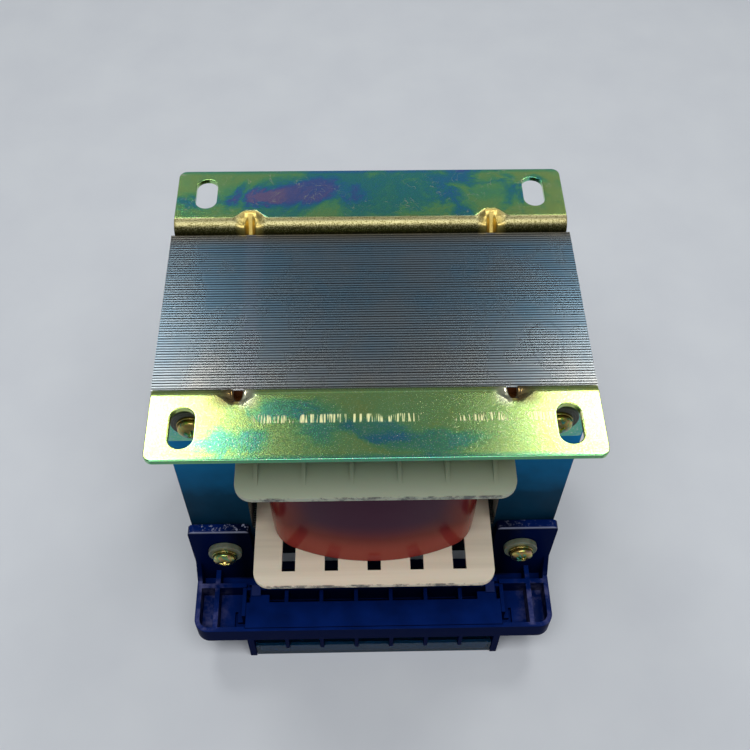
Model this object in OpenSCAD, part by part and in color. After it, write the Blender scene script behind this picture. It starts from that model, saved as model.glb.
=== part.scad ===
// Isolation transformer: EI core on two foot brackets, with a terminal carrier at each face.
// It stands on its terminal covers with the feet up, as it is set down on a bench.
// +X runs along the core's width, -Y is the front, +Z is up, and z = 0 is the resting plane.
// Both faces carry the same pieces: each is drawn on the +Y face and turned for the front.

/* [Core] */
// Width of the centre leg
centre_leg_w = 50; // [40:1:56]
// Width of each yoke and outer leg
yoke_w = 25; // [22:0.5:28]
// Width of each window, which is the comb between two legs
window_w = 25; // [22:0.5:32]
// Height of each window, which is the length of the legs
window_h = 75; // [60:1:100]
// Depth of the stack from face to face
stack_d = 71.2; // [50:0.2:100]
// Number of interleaved sheet pairs in the stack
sheet_pairs = 64; // [40:1:80]
// Width of the varnish line between two pairs, and of the butt joint between an E and its I
varnish_line = 0.12; // [0.05:0.01:0.2]
// Depth of the varnish line below the sheet edges
varnish_depth = 0.2; // [0.1:0.05:0.4]
// Diameter of the bolt holes in the sheets
core_hole_d = 8; // [6:0.5:10]

/* [Bobbin] */
// Wall of the bobbin tube and its flanges
bobbin_wall = 2; // [1.2:0.1:3]
// Clearance of the bobbin round the leg and in the windows
bobbin_gap = 0.3; // [0.1:0.05:0.6]
// Distance of the flange sides from the outer legs
flange_side_gap = 1.4; // [0.5:0.1:4]
// Reach of the flanges beyond the core's faces
flange_reach = 27.4; // [22:0.1:30]
// Corner radius of the flanges
flange_corner_r = 6.5; // [3:0.5:9]
// Number of stiffening ribs along a flange
flange_rib_count = 6; // [4:1:7]
// Distance of the outermost ribs from the flange's sides
flange_rib_side = 7.3; // [6.5:0.1:12]
// Thickness of a stiffening rib
flange_rib_t = 1.4; // [1:0.1:2]
// Height of a stiffening rib at the core
flange_rib_h = 5.5; // [3:0.5:8]
// Length of a rib's level top
flange_rib_top = 3; // [1:0.5:6]
// Distance of a rib's end from the flange's edge
flange_rib_end = 5; // [3:0.5:8]
// Clearance between a rib and the bracket's leg
flange_rib_gap = 0.9; // [0.5:0.1:2]
// Number of lead slots along the lower flange
lead_slot_count = 5; // [3:1:5]
// Distance of the outermost lead slots from the flange's sides
lead_slot_side = 14; // [10:0.1:15]
// Distance of the lead slots from the flange's edge
lead_slot_edge = 6.5; // [4:0.1:8]
// Width of a lead slot
lead_slot_w = 5.4; // [3:0.1:7]
// Length of a lead slot
lead_slot_l = 15; // [8:0.5:17]

/* [Winding] */
// Distance of the winding's flat sides from the flanges' sides
winding_side_gap = 7; // [4:0.1:10]
// Reach of the winding beyond the core's faces at its crown
winding_reach = 17.8; // [12:0.1:20]
// Radius of the crowned ends
winding_crown_r = 85; // [75:1:140]
// Radius of the winding's corners
winding_corner_r = 14; // [8:0.5:16]

/* [Foot brackets] */
// Distance of a bracket's ends from the core's sides
foot_end_gap = 1.25; // [0:0.25:6]
// Thickness of the bracket plate
foot_t = 2; // [1.5:0.1:2.5]
// Reach of a foot beyond the core's face
foot_reach = 29.6; // [24:0.1:34]
// Height of the foot's mounting face above the core
foot_rise = 4.4; // [3:0.1:6]
// Distance of the leg's lower edge from the window
foot_leg_gap = 1; // [0.5:0.1:4]
// Reach of the leg's two lugs below its lower edge
lug_drop = 4.2; // [1:0.1:8]
// Distance of the lugs from the bobbin's flanges
lug_gap = 2; // [1:0.5:6]
// Outer radius of the bend
foot_bend_r = 5; // [4:0.1:6]
// Corner radius of the foot
foot_corner_r = 3; // [1:0.5:5]
// Distance of a mounting slot's middle from the bracket's end
slot_end_gap = 11.25; // [9:0.25:16]
// Width of a mounting slot
slot_w = 8; // [5:0.5:9]
// Length of a mounting slot
slot_l = 15.3; // [12:0.1:18]
// Distance of a bend dimple from the middle
dimple_x = 45.4; // [38:0.1:48]
// Half width of a bend dimple at the bend's surface
dimple_half_w = 6; // [4:0.5:8]
// Width of a bend dimple's flat bottom
dimple_flat_w = 3.4; // [2:0.1:5]
// Reach of a bend dimple past both ends of the bend
dimple_reach = 2.5; // [1:0.1:3.5]

/* [Bolts] */
// Diameter of the clamping bolts
bolt_d = 5; // [4:0.5:6]
// Clearance of the bolt holes in the brackets and carriers
bolt_hole_gap = 0.5; // [0.2:0.1:1]
// Diameter of the pan head
head_d = 9.5; // [8:0.1:10.5]
// Height of the pan head
head_h = 3.2; // [2.5:0.1:4]
// Radius of the pan head's crown
head_crown_r = 7.6; // [6:0.1:12]
// Width of a flute of the cross recess
recess_w = 1.1; // [0.8:0.1:1.4]
// Width of the nut across its flats
nut_af = 8; // [7:0.5:10]
// Height of the nut
nut_h = 4; // [3:0.5:5]
// Length of bolt that shows past the nut
bolt_end = 2.5; // [1:0.5:6]
// Diameter of the plain washers
washer_d = 10.5; // [9:0.5:12]
// Thickness of the plain washers
washer_t = 1; // [0.6:0.1:1.5]
// Diameter of the spring washers
spring_d = 9; // [8:0.1:10]
// Thickness of the spring washers
spring_t = 1.3; // [1:0.1:1.6]
// Diameter of the insulating washers on the carriers
insulator_d = 14; // [12:0.5:16]
// Thickness of the insulating washers on the carriers
insulator_t = 2.6; // [1:0.1:3]
// Diameter of the fibre washers on the brackets
fibre_d = 15; // [11:0.5:16]
// Thickness of the fibre washers on the brackets
fibre_t = 3.3; // [0.8:0.1:4]

/* [Terminal carriers] */
// Overhang of the tray past the core's sides
tray_overhang = 1.6; // [0.5:0.1:6]
// Reach of the tray beyond the core's face
tray_reach = 32; // [30.5:0.1:34]
// Height of the tray's walls
tray_h = 10.3; // [8:0.1:12]
// Thickness of the tray's walls and floor
tray_wall = 2.1; // [1.5:0.1:2.3]
// Thickness of the tray's front wall along the block
front_wall_t = 1.3; // [1:0.1:1.5]
// Outer corner radius of the tray
tray_corner_r = 6; // [3:0.5:8]
// Gap between the core and the tray's upper edge
core_to_tray = 8; // [4:0.5:20]
// Thickness of the ears
ear_t = 3.8; // [2.5:0.1:4.5]
// Distance of an ear's inner edge from its bolt
ear_inner = 11.5; // [9:0.1:11.5]
// Corner radius of an ear
ear_corner_r = 2.5; // [1:0.1:5]
// Height of the ears on the core's face
ear_h = 28.5; // [22:0.5:34]
// Distance of the cross rib from the core's face
cross_rib_y = 10; // [8:0.5:11]
// Distance of the long rib from the tray's side
long_rib_side = 8.9; // [6:0.1:12]
// Height of the gussets beside the ears
gusset_h = 9; // [4:0.5:14]
// Depth of the gussets in front of the ears
gusset_d = 5; // [2:0.5:8]
// Width of a hook that holds the block
hook_w = 5.1; // [3:0.1:6]
// Distance of a hook's outer side from the block's end
hook_end = 1; // [1:0.1:6]
// Width of the step between a hook's side and its nose
hook_step = 1.1; // [0.5:0.1:1.4]
// Reach of a hook's nose over the block's ledge
hook_over = 0.7; // [0.4:0.05:1]
// Height of a hook's nose above the block
hook_nose_h = 2; // [1:0.1:3]
// Width of the slot beside a latch finger
latch_slot_w = 1.2; // [0.6:0.1:1.4]
// Width of a latch finger
latch_w = 4; // [2:0.1:4.2]
// Length of a latch finger
latch_l = 4.7; // [4:0.1:7]
// Gap in front of a latch finger
latch_gap = 6; // [1:0.1:7]

/* [Terminal blocks] */
// Number of terminals on a block
terminals = 7; // [4:1:7]
// Pitch of the terminals
terminal_pitch = 15.1; // [12:0.1:15.5]
// Thickness of the walls between the terminals
divider_t = 1.6; // [1.2:0.1:2.2]
// Thickness of a block's end walls
end_wall_t = 2.8; // [2:0.1:3.2]
// Distance of the block's inner wall from the core's face
block_from_face = 12.1; // [12:0.1:13]
// Height of the wire windows
wire_h = 8.5; // [7:0.1:10]
// Wall between the comb pockets and the block's inner side
comb_wall = 1.2; // [0.8:0.1:1.8]
// Depth of a comb pocket, which takes the tag of a terminal bar
comb_d = 5.8; // [5:0.1:6.2]
// Width of the ledges that the hooks hold in the end pockets
ledge_w = 7; // [5:0.1:8]
// Depth of the ledges
ledge_d = 3.4; // [2:0.1:3.5]
// Thickness of the ledges
ledge_t = 2; // [1.5:0.1:2.5]
// Width of the notches in the block's ends beside the hooks
end_notch_w = 1.6; // [1:0.1:1.8]
// Depth of the groove along the top of the comb
comb_groove = 1.2; // [0.5:0.1:2]
// Distance of the dividers' edges inside the cover's face
divider_inset = 1.6; // [1:0.1:2.5]
// Thickness of the lips under the carrier's floor
lip_t = 1.6; // [1:0.1:2]
// Reach of the lips past the block's ends
lip_reach = 6; // [2:0.1:6.5]
// Height of the clear cover
cover_h = 10.2; // [9:0.1:11]
// Wall of the clear cover
cover_wall = 1.3; // [1:0.1:1.6]
// Clearance of the block in the carrier and of the cover in the block
fit_gap = 0.25; // [0.15:0.05:0.4]
// Radius of the pips that hold the cover
pip_r = 1; // [0.6:0.1:1.4]
// Height of the pips that hold the cover
pip_h = 1; // [0.6:0.1:1.4]
// Distance of a pip from the block's outer edge
pip_edge = 3; // [2:0.1:4]
// Distance of the cover's skirt inside the block's outer edge
skirt_inset = 0.6; // [0.2:0.1:1.2]

/* [Terminals] */
// Diameter of the terminal screws
screw_d = 4; // [3:0.5:4.5]
// Diameter of the terminal screw heads
screw_head_d = 7.6; // [6:0.1:8]
// Height of the terminal screw heads
screw_head_h = 2.6; // [1.5:0.1:3]
// Depth of the screws in the block
screw_depth = 5; // [3:0.1:6]
// Thickness of the terminal bars and saddle plates
bar_t = 1.2; // [0.8:0.1:1.5]
// Width of a terminal bar
bar_w = 9; // [7.5:0.1:11]
// Reach of a terminal bar past its screw
bar_reach = 5; // [4:0.1:6]
// Width of the tag that takes the winding's lead
tag_w = 5; // [3:0.1:8]
// Distance of the tag's end below the block's top
tag_drop = 5; // [3:0.1:6]
// Width of a saddle plate
saddle_w = 10; // [8:0.1:11]
// Depth of a saddle plate
saddle_d = 8; // [6:0.1:9]
// Width of the turned-up edges of a saddle plate
saddle_edge_w = 1.2; // [0.8:0.1:1.6]
// Height of the turned-up edges of a saddle plate
saddle_edge_h = 1; // [0.4:0.1:1.6]

/* [Hidden] */
$fn = 48;
past = 1;   // how far a cutting tool runs past the face it opens

// The lamination
core_w = centre_leg_w + 2 * (window_w + yoke_w);
core_h = window_h + 2 * yoke_w;
pair_pitch = (stack_d + varnish_line) / sheet_pairs;
pair_t = pair_pitch - varnish_line;

// Heights from the resting plane
tray_z0 = cover_h + wire_h;
tray_z1 = tray_z0 + tray_h;
core_z0 = tray_z1 + core_to_tray;
core_z1 = core_z0 + core_h;
window_z0 = core_z0 + yoke_w;
window_z1 = core_z1 - yoke_w;
foot_z = core_z1 + foot_rise;
ear_z = core_z0 + ear_h;

// Depths from the middle of the stack
face = stack_d / 2;
tray_y = face + tray_reach;
block_y0 = face + block_from_face;
block_y1 = tray_y - front_wall_t - fit_gap;

// Places along the width
bolt_x = (core_w - yoke_w) / 2;
tray_half_w = core_w / 2 + tray_overhang;

// Heights of the bolts
bolt_top_z = core_z1 - yoke_w / 2;
bolt_bottom_z = core_z0 + yoke_w / 2;
hole_d = bolt_d + bolt_hole_gap;

module box(lo, hi) {
    translate(lo) cube(hi - lo);
}

module mirrored_x() {
    children();
    mirror([1, 0, 0]) children();
}

// Both faces get the same pieces: front is the rear turned by half a turn
module front() {
    rotate([0, 0, 180]) children();
}

// A rod along +Y that starts at y
module rod_y(d, x, y, z, l) {
    translate([x, y, z]) rotate([-90, 0, 0]) cylinder(d = d, h = l);
}

module rounded_plate(half_x, half_y, r, z, t) {
    for (x = [-1, 1], y = [-1, 1])
        translate([x * (half_x - r), y * (half_y - r), z]) cylinder(r = r, h = t);
    box([-half_x + r, -half_y, z], [half_x - r, half_y, z + t]);
    box([-half_x, -half_y + r, z], [half_x, half_y - r, z + t]);
}

// ---- core ----

// A pair of sheets; its E and its I butt together at the upper or the lower end of the windows
module sheet_pair(y, joint_z) {
    box([-core_w / 2, y, core_z0], [core_w / 2, y + pair_t, joint_z - varnish_line / 2]);
    box([-core_w / 2, y, joint_z + varnish_line / 2], [core_w / 2, y + pair_t, core_z1]);
}

module core_laminations() {
    color("slategray") difference() {
        union() {
            box([-core_w / 2 + varnish_depth, -face + varnish_depth, core_z0 + varnish_depth],
                [core_w / 2 - varnish_depth, face - varnish_depth, core_z1 - varnish_depth]);
            for (i = [0 : sheet_pairs - 1])
                sheet_pair(-face + i * pair_pitch, i % 2 == 0 ? window_z1 : window_z0);
        }
        mirrored_x() box([centre_leg_w / 2, -face - past, window_z0],
                         [core_w / 2 - yoke_w, face + past, window_z1]);
        for (x = [-bolt_x, bolt_x], z = [bolt_top_z, bolt_bottom_z])
            rod_y(core_hole_d, x, -face - past, z, stack_d + 2 * past);
    }
}

// ---- bobbin and winding ----

tube_in = [centre_leg_w / 2 + bobbin_gap, face + bobbin_gap];
tube_out = [tube_in[0] + bobbin_wall, tube_in[1] + bobbin_wall];
bobbin_z0 = window_z0 + bobbin_gap;
bobbin_z1 = window_z1 - bobbin_gap;
flange_half_w = core_w / 2 - yoke_w - flange_side_gap;
flange_half_d = face + flange_reach;
winding_z0 = bobbin_z0 + bobbin_wall;
winding_z1 = bobbin_z1 - bobbin_wall;
rib_y0 = face + foot_t + flange_rib_gap;
rib_y1 = flange_half_d - flange_rib_end;
lead_slot_y1 = flange_half_d - lead_slot_edge;

// Places of n things spread evenly over the flange, the outermost at the given distance from its sides
function spread(n, side) =
    [for (i = [0 : n - 1]) (flange_half_w - side) * (2 * i / (n - 1) - 1)];

// A rib on the flange's outer face, highest beside the core; up is 1 or -1
module flange_rib(x, z, up) {
    translate([x - flange_rib_t / 2, 0, 0]) rotate([90, 0, 90]) linear_extrude(flange_rib_t)
        polygon([[rib_y0, z], [rib_y1, z], [rib_y0 + flange_rib_top, z + up * flange_rib_h],
                 [rib_y0, z + up * flange_rib_h]]);
}

// A flange between z0 and z0 + bobbin_wall, with its ribs on the outer face at outer_z
module flange(z0, outer_z, up) {
    difference() {
        union() {
            rounded_plate(flange_half_w, flange_half_d, flange_corner_r, z0, bobbin_wall);
            for (turn = [0, 180], x = spread(flange_rib_count, flange_rib_side))
                rotate([0, 0, turn]) flange_rib(x, outer_z, up);
        }
        box([-tube_in[0], -tube_in[1], z0 - past], [tube_in[0], tube_in[1], z0 + bobbin_wall + past]);
    }
}

module bobbin_tube() {
    color("ivory") difference() {
        box([-tube_out[0], -tube_out[1], winding_z0], [tube_out[0], tube_out[1], winding_z1]);
        box([-tube_in[0], -tube_in[1], winding_z0 - past], [tube_in[0], tube_in[1], winding_z1 + past]);
    }
}

module bobbin_flange_top() {
    color("ivory") flange(winding_z1, bobbin_z1, 1);
}

module bobbin_flange_bottom() {
    color("ivory") difference() {
        flange(bobbin_z0, bobbin_z0, -1);
        for (turn = [0, 180], x = spread(lead_slot_count, lead_slot_side)) rotate([0, 0, turn])
            box([x - lead_slot_w / 2, lead_slot_y1 - lead_slot_l, bobbin_z0 - past],
                [x + lead_slot_w / 2, lead_slot_y1, winding_z0 + past]);
    }
}

// The winding's plan: flat sides, crowned ends and a corner arc that is tangent to both
winding_half_w = flange_half_w - winding_side_gap;
winding_y = face + winding_reach;
crown_y = winding_y - winding_crown_r;
corner_x = winding_half_w - winding_corner_r;
corner_y = crown_y + sqrt(pow(winding_crown_r - winding_corner_r, 2) - corner_x * corner_x);
tangent_x = corner_x * winding_crown_r / (winding_crown_r - winding_corner_r);
winding_h = winding_z1 - winding_z0;

module winding() {
    color("firebrick") difference() {
        union() {
            intersection() {
                translate([0, crown_y, winding_z0])
                    cylinder(r = winding_crown_r, h = winding_h, $fn = 180);
                translate([0, -crown_y, winding_z0])
                    cylinder(r = winding_crown_r, h = winding_h, $fn = 180);
                box([-tangent_x, -winding_y, winding_z0],
                    [tangent_x, winding_y, winding_z1]);
            }
            box([-winding_half_w, -corner_y, winding_z0],
                [winding_half_w, corner_y, winding_z1]);
            for (x = [-corner_x, corner_x], y = [-corner_y, corner_y])
                translate([x, y, winding_z0]) cylinder(r = winding_corner_r, h = winding_h);
        }
        box([-tube_out[0], -tube_out[1], winding_z0 - past],
            [tube_out[0], tube_out[1], winding_z1 + past]);
    }
}

// ---- foot brackets ----

foot_half_l = core_w / 2 - foot_end_gap;
foot_z0 = window_z1 + foot_leg_gap;
lug_z0 = foot_z0 - lug_drop;
lug_x = flange_half_w + lug_gap;
foot_y = face + foot_reach;
bend_y = face + foot_bend_r;
bend_z = foot_z - foot_bend_r;
slot_x = foot_half_l - slot_end_gap;
slot_y = (bend_y + foot_y) / 2;   // the slots lie midway across the foot's flat part

// Everything on the inner side of the bend's outer surface
module bend_envelope() {
    translate([-foot_half_l, bend_y, bend_z]) rotate([0, 90, 0])
        cylinder(r = foot_bend_r, h = 2 * foot_half_l);
    box([-foot_half_l, bend_y, lug_z0], [foot_half_l, foot_y, foot_z]);
    box([-foot_half_l, face, lug_z0], [foot_half_l, bend_y, bend_z]);
}

// The dimple's bottom runs at 45 degrees and leaves the foot and the leg just past the bend
dimple_bottom = (foot_bend_r - dimple_reach) / sqrt(2);
dimple_depth = foot_bend_r - dimple_bottom;
dimple_slope = (dimple_half_w - dimple_flat_w / 2) / dimple_depth;

// A channel with sloping sides laid across the bend; t carries it through the plate's thickness
module dimple_channel(t) {
    half_bottom = dimple_flat_w / 2 + t * (sqrt(1 + pow(dimple_slope, 2)) - dimple_slope);
    half_top = half_bottom + dimple_slope * (dimple_depth + t + past);
    translate([dimple_x, bend_y, bend_z]) rotate([-45, 0, 0])
        linear_extrude(4 * foot_bend_r, center = true)
            polygon([[-half_bottom, t - dimple_bottom], [half_bottom, t - dimple_bottom],
                     [half_top, -foot_bend_r - past], [-half_top, -foot_bend_r - past]]);
}

module foot_slot(x) {
    straight = (slot_l - slot_w) / 2;
    for (y = [-straight, straight])
        translate([x, slot_y + y, foot_z - foot_t - past])
            cylinder(d = slot_w, h = foot_t + 2 * past);
    box([x - slot_w / 2, slot_y - straight, foot_z - foot_t - past],
        [x + slot_w / 2, slot_y + straight, foot_z + past]);
}

module foot_bracket() {
    color("khaki") difference() {
        union() {
            difference() {
                intersection() {
                    bend_envelope();
                    rounded_plate(foot_half_l, foot_y, foot_corner_r, lug_z0, foot_z - lug_z0);
                }
                translate([-foot_half_l - past, bend_y, bend_z]) rotate([0, 90, 0])
                    cylinder(r = foot_bend_r - foot_t, h = 2 * (foot_half_l + past));
                box([-foot_half_l - past, bend_y, lug_z0 - past],
                    [foot_half_l + past, foot_y + past, foot_z - foot_t]);
                box([-foot_half_l - past, face + foot_t, lug_z0 - past],
                    [foot_half_l + past, foot_y + past, bend_z]);
                box([-lug_x, face - past, lug_z0 - past], [lug_x, face + foot_t + past, foot_z0]);
            }
            mirrored_x() intersection() {
                dimple_channel(foot_t);
                bend_envelope();
            }
        }
        mirrored_x() {
            dimple_channel(0);
            foot_slot(slot_x);
            rod_y(hole_d, bolt_x, face - past, bolt_top_z, foot_t + 2 * past);
        }
    }
}

// ---- bolts, nuts and washers ----

// The stack of pieces between the core's face and a bolt's head or nut
top_grip = foot_t + fibre_t + washer_t;
bottom_grip = ear_t + insulator_t + washer_t;

recess_l = head_d / 2;      // length of the cross recess
nut_gap = 0.05;             // clearance between a nut's bore and its bolt

// A bolt along Y with its pan head at the front
module bolt(x, z, grip) {
    head_y = -face - grip;
    end_y = face + grip + spring_t + nut_h + bolt_end;
    color("goldenrod") difference() {
        union() {
            rod_y(bolt_d, x, head_y - past, z, end_y - head_y + past);
            intersection() {
                rod_y(head_d, x, head_y - head_h, z, head_h);
                translate([x, head_y - head_h + head_crown_r, z]) sphere(r = head_crown_r);
            }
        }
        for (turn = [45, 135]) translate([x, head_y - head_h, z]) rotate([0, turn, 0])
            cube([recess_l, head_h, recess_w], center = true);
    }
}

module nut(x, z, grip) {
    color("goldenrod") translate([x, face + grip + spring_t, z]) rotate([-90, 0, 0])
        difference() {
            cylinder(d = nut_af / cos(30), h = nut_h, $fn = 6);
            translate([0, 0, -past]) cylinder(d = bolt_d + 2 * nut_gap, h = nut_h + 2 * past);
        }
}

// A pair of washers on the +Y face, on the bolts at height z
module washer_pair(d, t, y, z) {
    mirrored_x() difference() {
        rod_y(d, bolt_x, face + y, z, t);
        rod_y(bolt_d + bolt_hole_gap / 2, bolt_x, face + y - past, z, t + 2 * past);
    }
}

module plain_washers() {
    color("goldenrod") {
        washer_pair(washer_d, washer_t, foot_t + fibre_t, bolt_top_z);
        washer_pair(washer_d, washer_t, ear_t + insulator_t, bolt_bottom_z);
    }
}

module spring_washers() {
    color("goldenrod") {
        washer_pair(spring_d, spring_t, top_grip, bolt_top_z);
        washer_pair(spring_d, spring_t, bottom_grip, bolt_bottom_z);
    }
}

module insulating_washers() {
    color("beige") washer_pair(insulator_d, insulator_t, ear_t, bolt_bottom_z);
}

module fibre_washers() {
    color("dimgray") washer_pair(fibre_d, fibre_t, foot_t, bolt_top_z);
}

// ---- terminal carriers ----

block_half_w = terminals * terminal_pitch / 2 - divider_t / 2 + end_wall_t;
opening_x = block_half_w + fit_gap;
floor_z = tray_z0 + tray_wall;
low_rib_drop = 1;
rib_z = tray_z1 - low_rib_drop;           // the low ribs stop a little below the tray's edge
cross_y = face + cross_rib_y;
long_rib_x = tray_half_w - long_rib_side;
ear_x0 = bolt_x - ear_inner;
hook_x0 = block_half_w - hook_end - hook_w;
latch_x0 = opening_x + latch_w;
latch_y1 = block_y1 + fit_gap - latch_gap;
comb_y0 = block_y0 + comb_wall;
comb_y1 = comb_y0 + comb_d;
ledge_y0 = comb_y1 - ledge_d;
block_rib_t = 0.8 * tray_wall;            // the ribs beside the block are thinner than the walls

module tray_shell() {
    inner_r = tray_corner_r - tray_wall;
    difference() {
        intersection() {
            rounded_plate(tray_half_w, tray_y, tray_corner_r, tray_z0, tray_h);
            box([-tray_half_w, face, tray_z0], [tray_half_w, tray_y, tray_z1]);
        }
        intersection() {
            rounded_plate(tray_half_w - tray_wall, tray_y - tray_wall, inner_r, floor_z, tray_h);
            box([-tray_half_w, face + ear_t, floor_z], [tray_half_w, tray_y, tray_z1 + past]);
        }
    }
}

module ear() {
    r = ear_corner_r;
    box([ear_x0, face, tray_z0], [tray_half_w, face + ear_t, ear_z - r]);
    box([ear_x0 + r, face, ear_z - r], [tray_half_w - r, face + ear_t, ear_z]);
    for (x = [ear_x0 + r, tray_half_w - r]) rod_y(2 * r, x, face, ear_z - r, ear_t);
}

// The web that ties an ear's outer edge to the side wall
module ear_gusset() {
    ear_y = face + ear_t;
    translate([tray_half_w - tray_wall, 0, 0]) rotate([90, 0, 90]) linear_extrude(tray_wall)
        polygon([[face, tray_z1], [ear_y + gusset_d, tray_z1], [ear_y, tray_z1 + gusset_h],
                 [face, tray_z1 + gusset_h]]);
}

// A post whose nose holds the terminal block down in the tray by its ledge
module block_hook() {
    post_y1 = block_y0 - fit_gap;
    nose_y1 = ledge_y0 + hook_over;
    nose_z = tray_z1 + fit_gap;
    root = 1;          // how far the nose reaches back into its post
    nose_tip_h = 0.6;  // height of the nose at its tip
    box([hook_x0, cross_y, tray_z0], [hook_x0 + hook_w, post_y1, nose_z + hook_nose_h]);
    translate([hook_x0, 0, 0]) rotate([90, 0, 90]) linear_extrude(hook_w - hook_step)
        polygon([[post_y1 - root, nose_z], [nose_y1, nose_z], [nose_y1, nose_z + nose_tip_h],
                 [post_y1 - root, nose_z + hook_nose_h]]);
}

// The long rib beside the side wall, the cross rib in front of the ear, and the rib round the block
module tray_ribs() {
    half = tray_wall / 2;
    box([long_rib_x - half, face, tray_z0], [long_rib_x + half, tray_y - half, tray_z1]);
    box([opening_x, cross_y, tray_z0], [tray_half_w - half, cross_y + tray_wall, tray_z1]);
    box([opening_x, cross_y, tray_z0],
        [opening_x + block_rib_t, latch_y1, rib_z]);
}

// The slots that set a latch finger free at the block's end
module latch_slots() {
    slot_y1 = block_y1 + fit_gap;
    slot_z0 = tray_z0 - past;
    slot_z1 = floor_z + past;
    box([latch_x0, latch_y1 - latch_l, slot_z0], [latch_x0 + latch_slot_w, slot_y1, slot_z1]);
    box([opening_x - past, latch_y1, slot_z0], [latch_x0 + latch_slot_w, slot_y1, slot_z1]);
}

module terminal_carrier() {
    color("midnightblue") difference() {
        union() {
            tray_shell();
            mirrored_x() {
                ear();
                ear_gusset();
                block_hook();
                tray_ribs();
            }
        }
        box([-opening_x, block_y0 - fit_gap, tray_z0 - past],
            [opening_x, block_y1 + fit_gap, tray_z1 + fit_gap / 2]);
        mirrored_x() {
            latch_slots();
            rod_y(hole_d, bolt_x, face - past, bolt_bottom_z, ear_t + 2 * past);
        }
    }
}

// ---- terminal blocks ----

terminal_xs = [for (i = [0 : terminals - 1]) (i - (terminals - 1) / 2) * terminal_pitch];
divider_xs = [for (i = [1 : terminals - 1]) (i - terminals / 2) * terminal_pitch];
cell_w = terminal_pitch - divider_t;
cell_half_w = block_half_w - end_wall_t;
screw_y = (block_y0 + tray_y) / 2;
divider_z0 = cover_h - divider_inset;
pip_y = tray_y - pip_edge;
pip_z = cover_h / 2;
screw_play = 0.3;   // clearance round the screws in the block and the saddle plates

// Lips that bear on the underside of the carrier's floor
module block_lips() {
    lip_z1 = tray_z0 - fit_gap;
    mirrored_x() box([block_half_w - past, comb_y0, lip_z1 - lip_t],
                     [block_half_w + lip_reach, block_y1, lip_z1]);
}

// Ledges across the end pockets, which the carrier's hooks hold
module block_ledges() {
    mirrored_x() box([cell_half_w - ledge_w, ledge_y0, tray_z1 - ledge_t],
                     [block_half_w - end_notch_w, comb_y1 + past, tray_z1]);
}

module block_body() {
    difference() {
        union() {
            box([-block_half_w, block_y0, tray_z0], [block_half_w, block_y1, tray_z1]);
            box([-block_half_w, block_y0, 0], [block_half_w, block_y0 + divider_t, tray_z0]);
            mirrored_x() box([cell_half_w, block_y0, 0], [block_half_w, tray_y, tray_z0]);
            for (x = divider_xs) box([x - divider_t / 2, block_y0, divider_z0],
                                     [x + divider_t / 2, tray_y, tray_z0]);
            block_lips();
        }
        for (x = terminal_xs) {
            box([x - cell_w / 2, comb_y0, tray_z0 - past], [x + cell_w / 2, comb_y1, tray_z1 + past]);
            translate([x, screw_y, tray_z0 - past])
                cylinder(d = screw_d + 2 * screw_play, h = screw_depth + 2 * past);
        }
        box([-cell_half_w, comb_y0, tray_z1 - comb_groove], [cell_half_w, comb_y1, tray_z1 + past]);
        mirrored_x() {
            box([block_half_w - end_notch_w, comb_y0, floor_z],
                [block_half_w + past, comb_y1, tray_z1 + past]);
            // a socket for the cover's pip
            translate([cell_half_w - past, pip_y, pip_z]) rotate([0, 90, 0])
                cylinder(r = pip_r + fit_gap / 2, h = pip_h + fit_gap + past);
        }
    }
}

module terminal_block() {
    color("midnightblue") {
        block_body();
        block_ledges();
    }
}

// The bar under each wire, with a tag for the winding's lead in the comb pocket
module terminal_bars() {
    tag_y0 = comb_y1 - fit_gap - bar_t;   // the tag stands at the pocket's front wall
    color("silver") for (x = terminal_xs) difference() {
        union() {
            box([x - bar_w / 2, tag_y0, tray_z0 - bar_t],
                [x + bar_w / 2, screw_y + bar_reach, tray_z0]);
            box([x - tag_w / 2, tag_y0, tray_z0 - bar_t],
                [x + tag_w / 2, tag_y0 + bar_t, tray_z1 - tag_drop]);
        }
        translate([x, screw_y, tray_z0 - bar_t - past])
            cylinder(d = screw_d + 2 * nut_gap, h = bar_t + 2 * past);
    }
}

saddle_z = divider_z0;   // the clamping plates hang level with the dividers' edges

// The plate that a screw presses on its wire, with its two edges turned towards the wire
module saddle_plates() {
    half_w = saddle_w / 2;
    y0 = screw_y - saddle_d / 2;
    y1 = screw_y + saddle_d / 2;
    color("silver") for (x = terminal_xs) difference() {
        union() {
            box([x - half_w, y0, saddle_z], [x + half_w, y1, saddle_z + bar_t]);
            for (edge_x = [x - half_w, x + half_w - saddle_edge_w])
                box([edge_x, y0, saddle_z],
                    [edge_x + saddle_edge_w, y1, saddle_z + bar_t + saddle_edge_h]);
        }
        translate([x, screw_y, saddle_z - past])
            cylinder(d = screw_d + 2 * screw_play, h = bar_t + 2 * past);
    }
}

module terminal_screws() {
    shank_l = tray_z0 + screw_depth - saddle_z;
    flute_l = 0.6 * screw_head_d;   // length of the cross recess
    flute_w = 1;                    // width of its flutes
    color("silver") for (x = terminal_xs) translate([x, screw_y, saddle_z]) difference() {
        union() {
            translate([0, 0, -screw_head_h]) cylinder(d = screw_head_d, h = screw_head_h);
            translate([0, 0, -past]) cylinder(d = screw_d, h = shank_l + past);
        }
        for (turn = [0, 90]) translate([0, 0, -screw_head_h]) rotate([0, 0, turn])
            cube([flute_l, flute_w, screw_head_h], center = true);
    }
}

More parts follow.
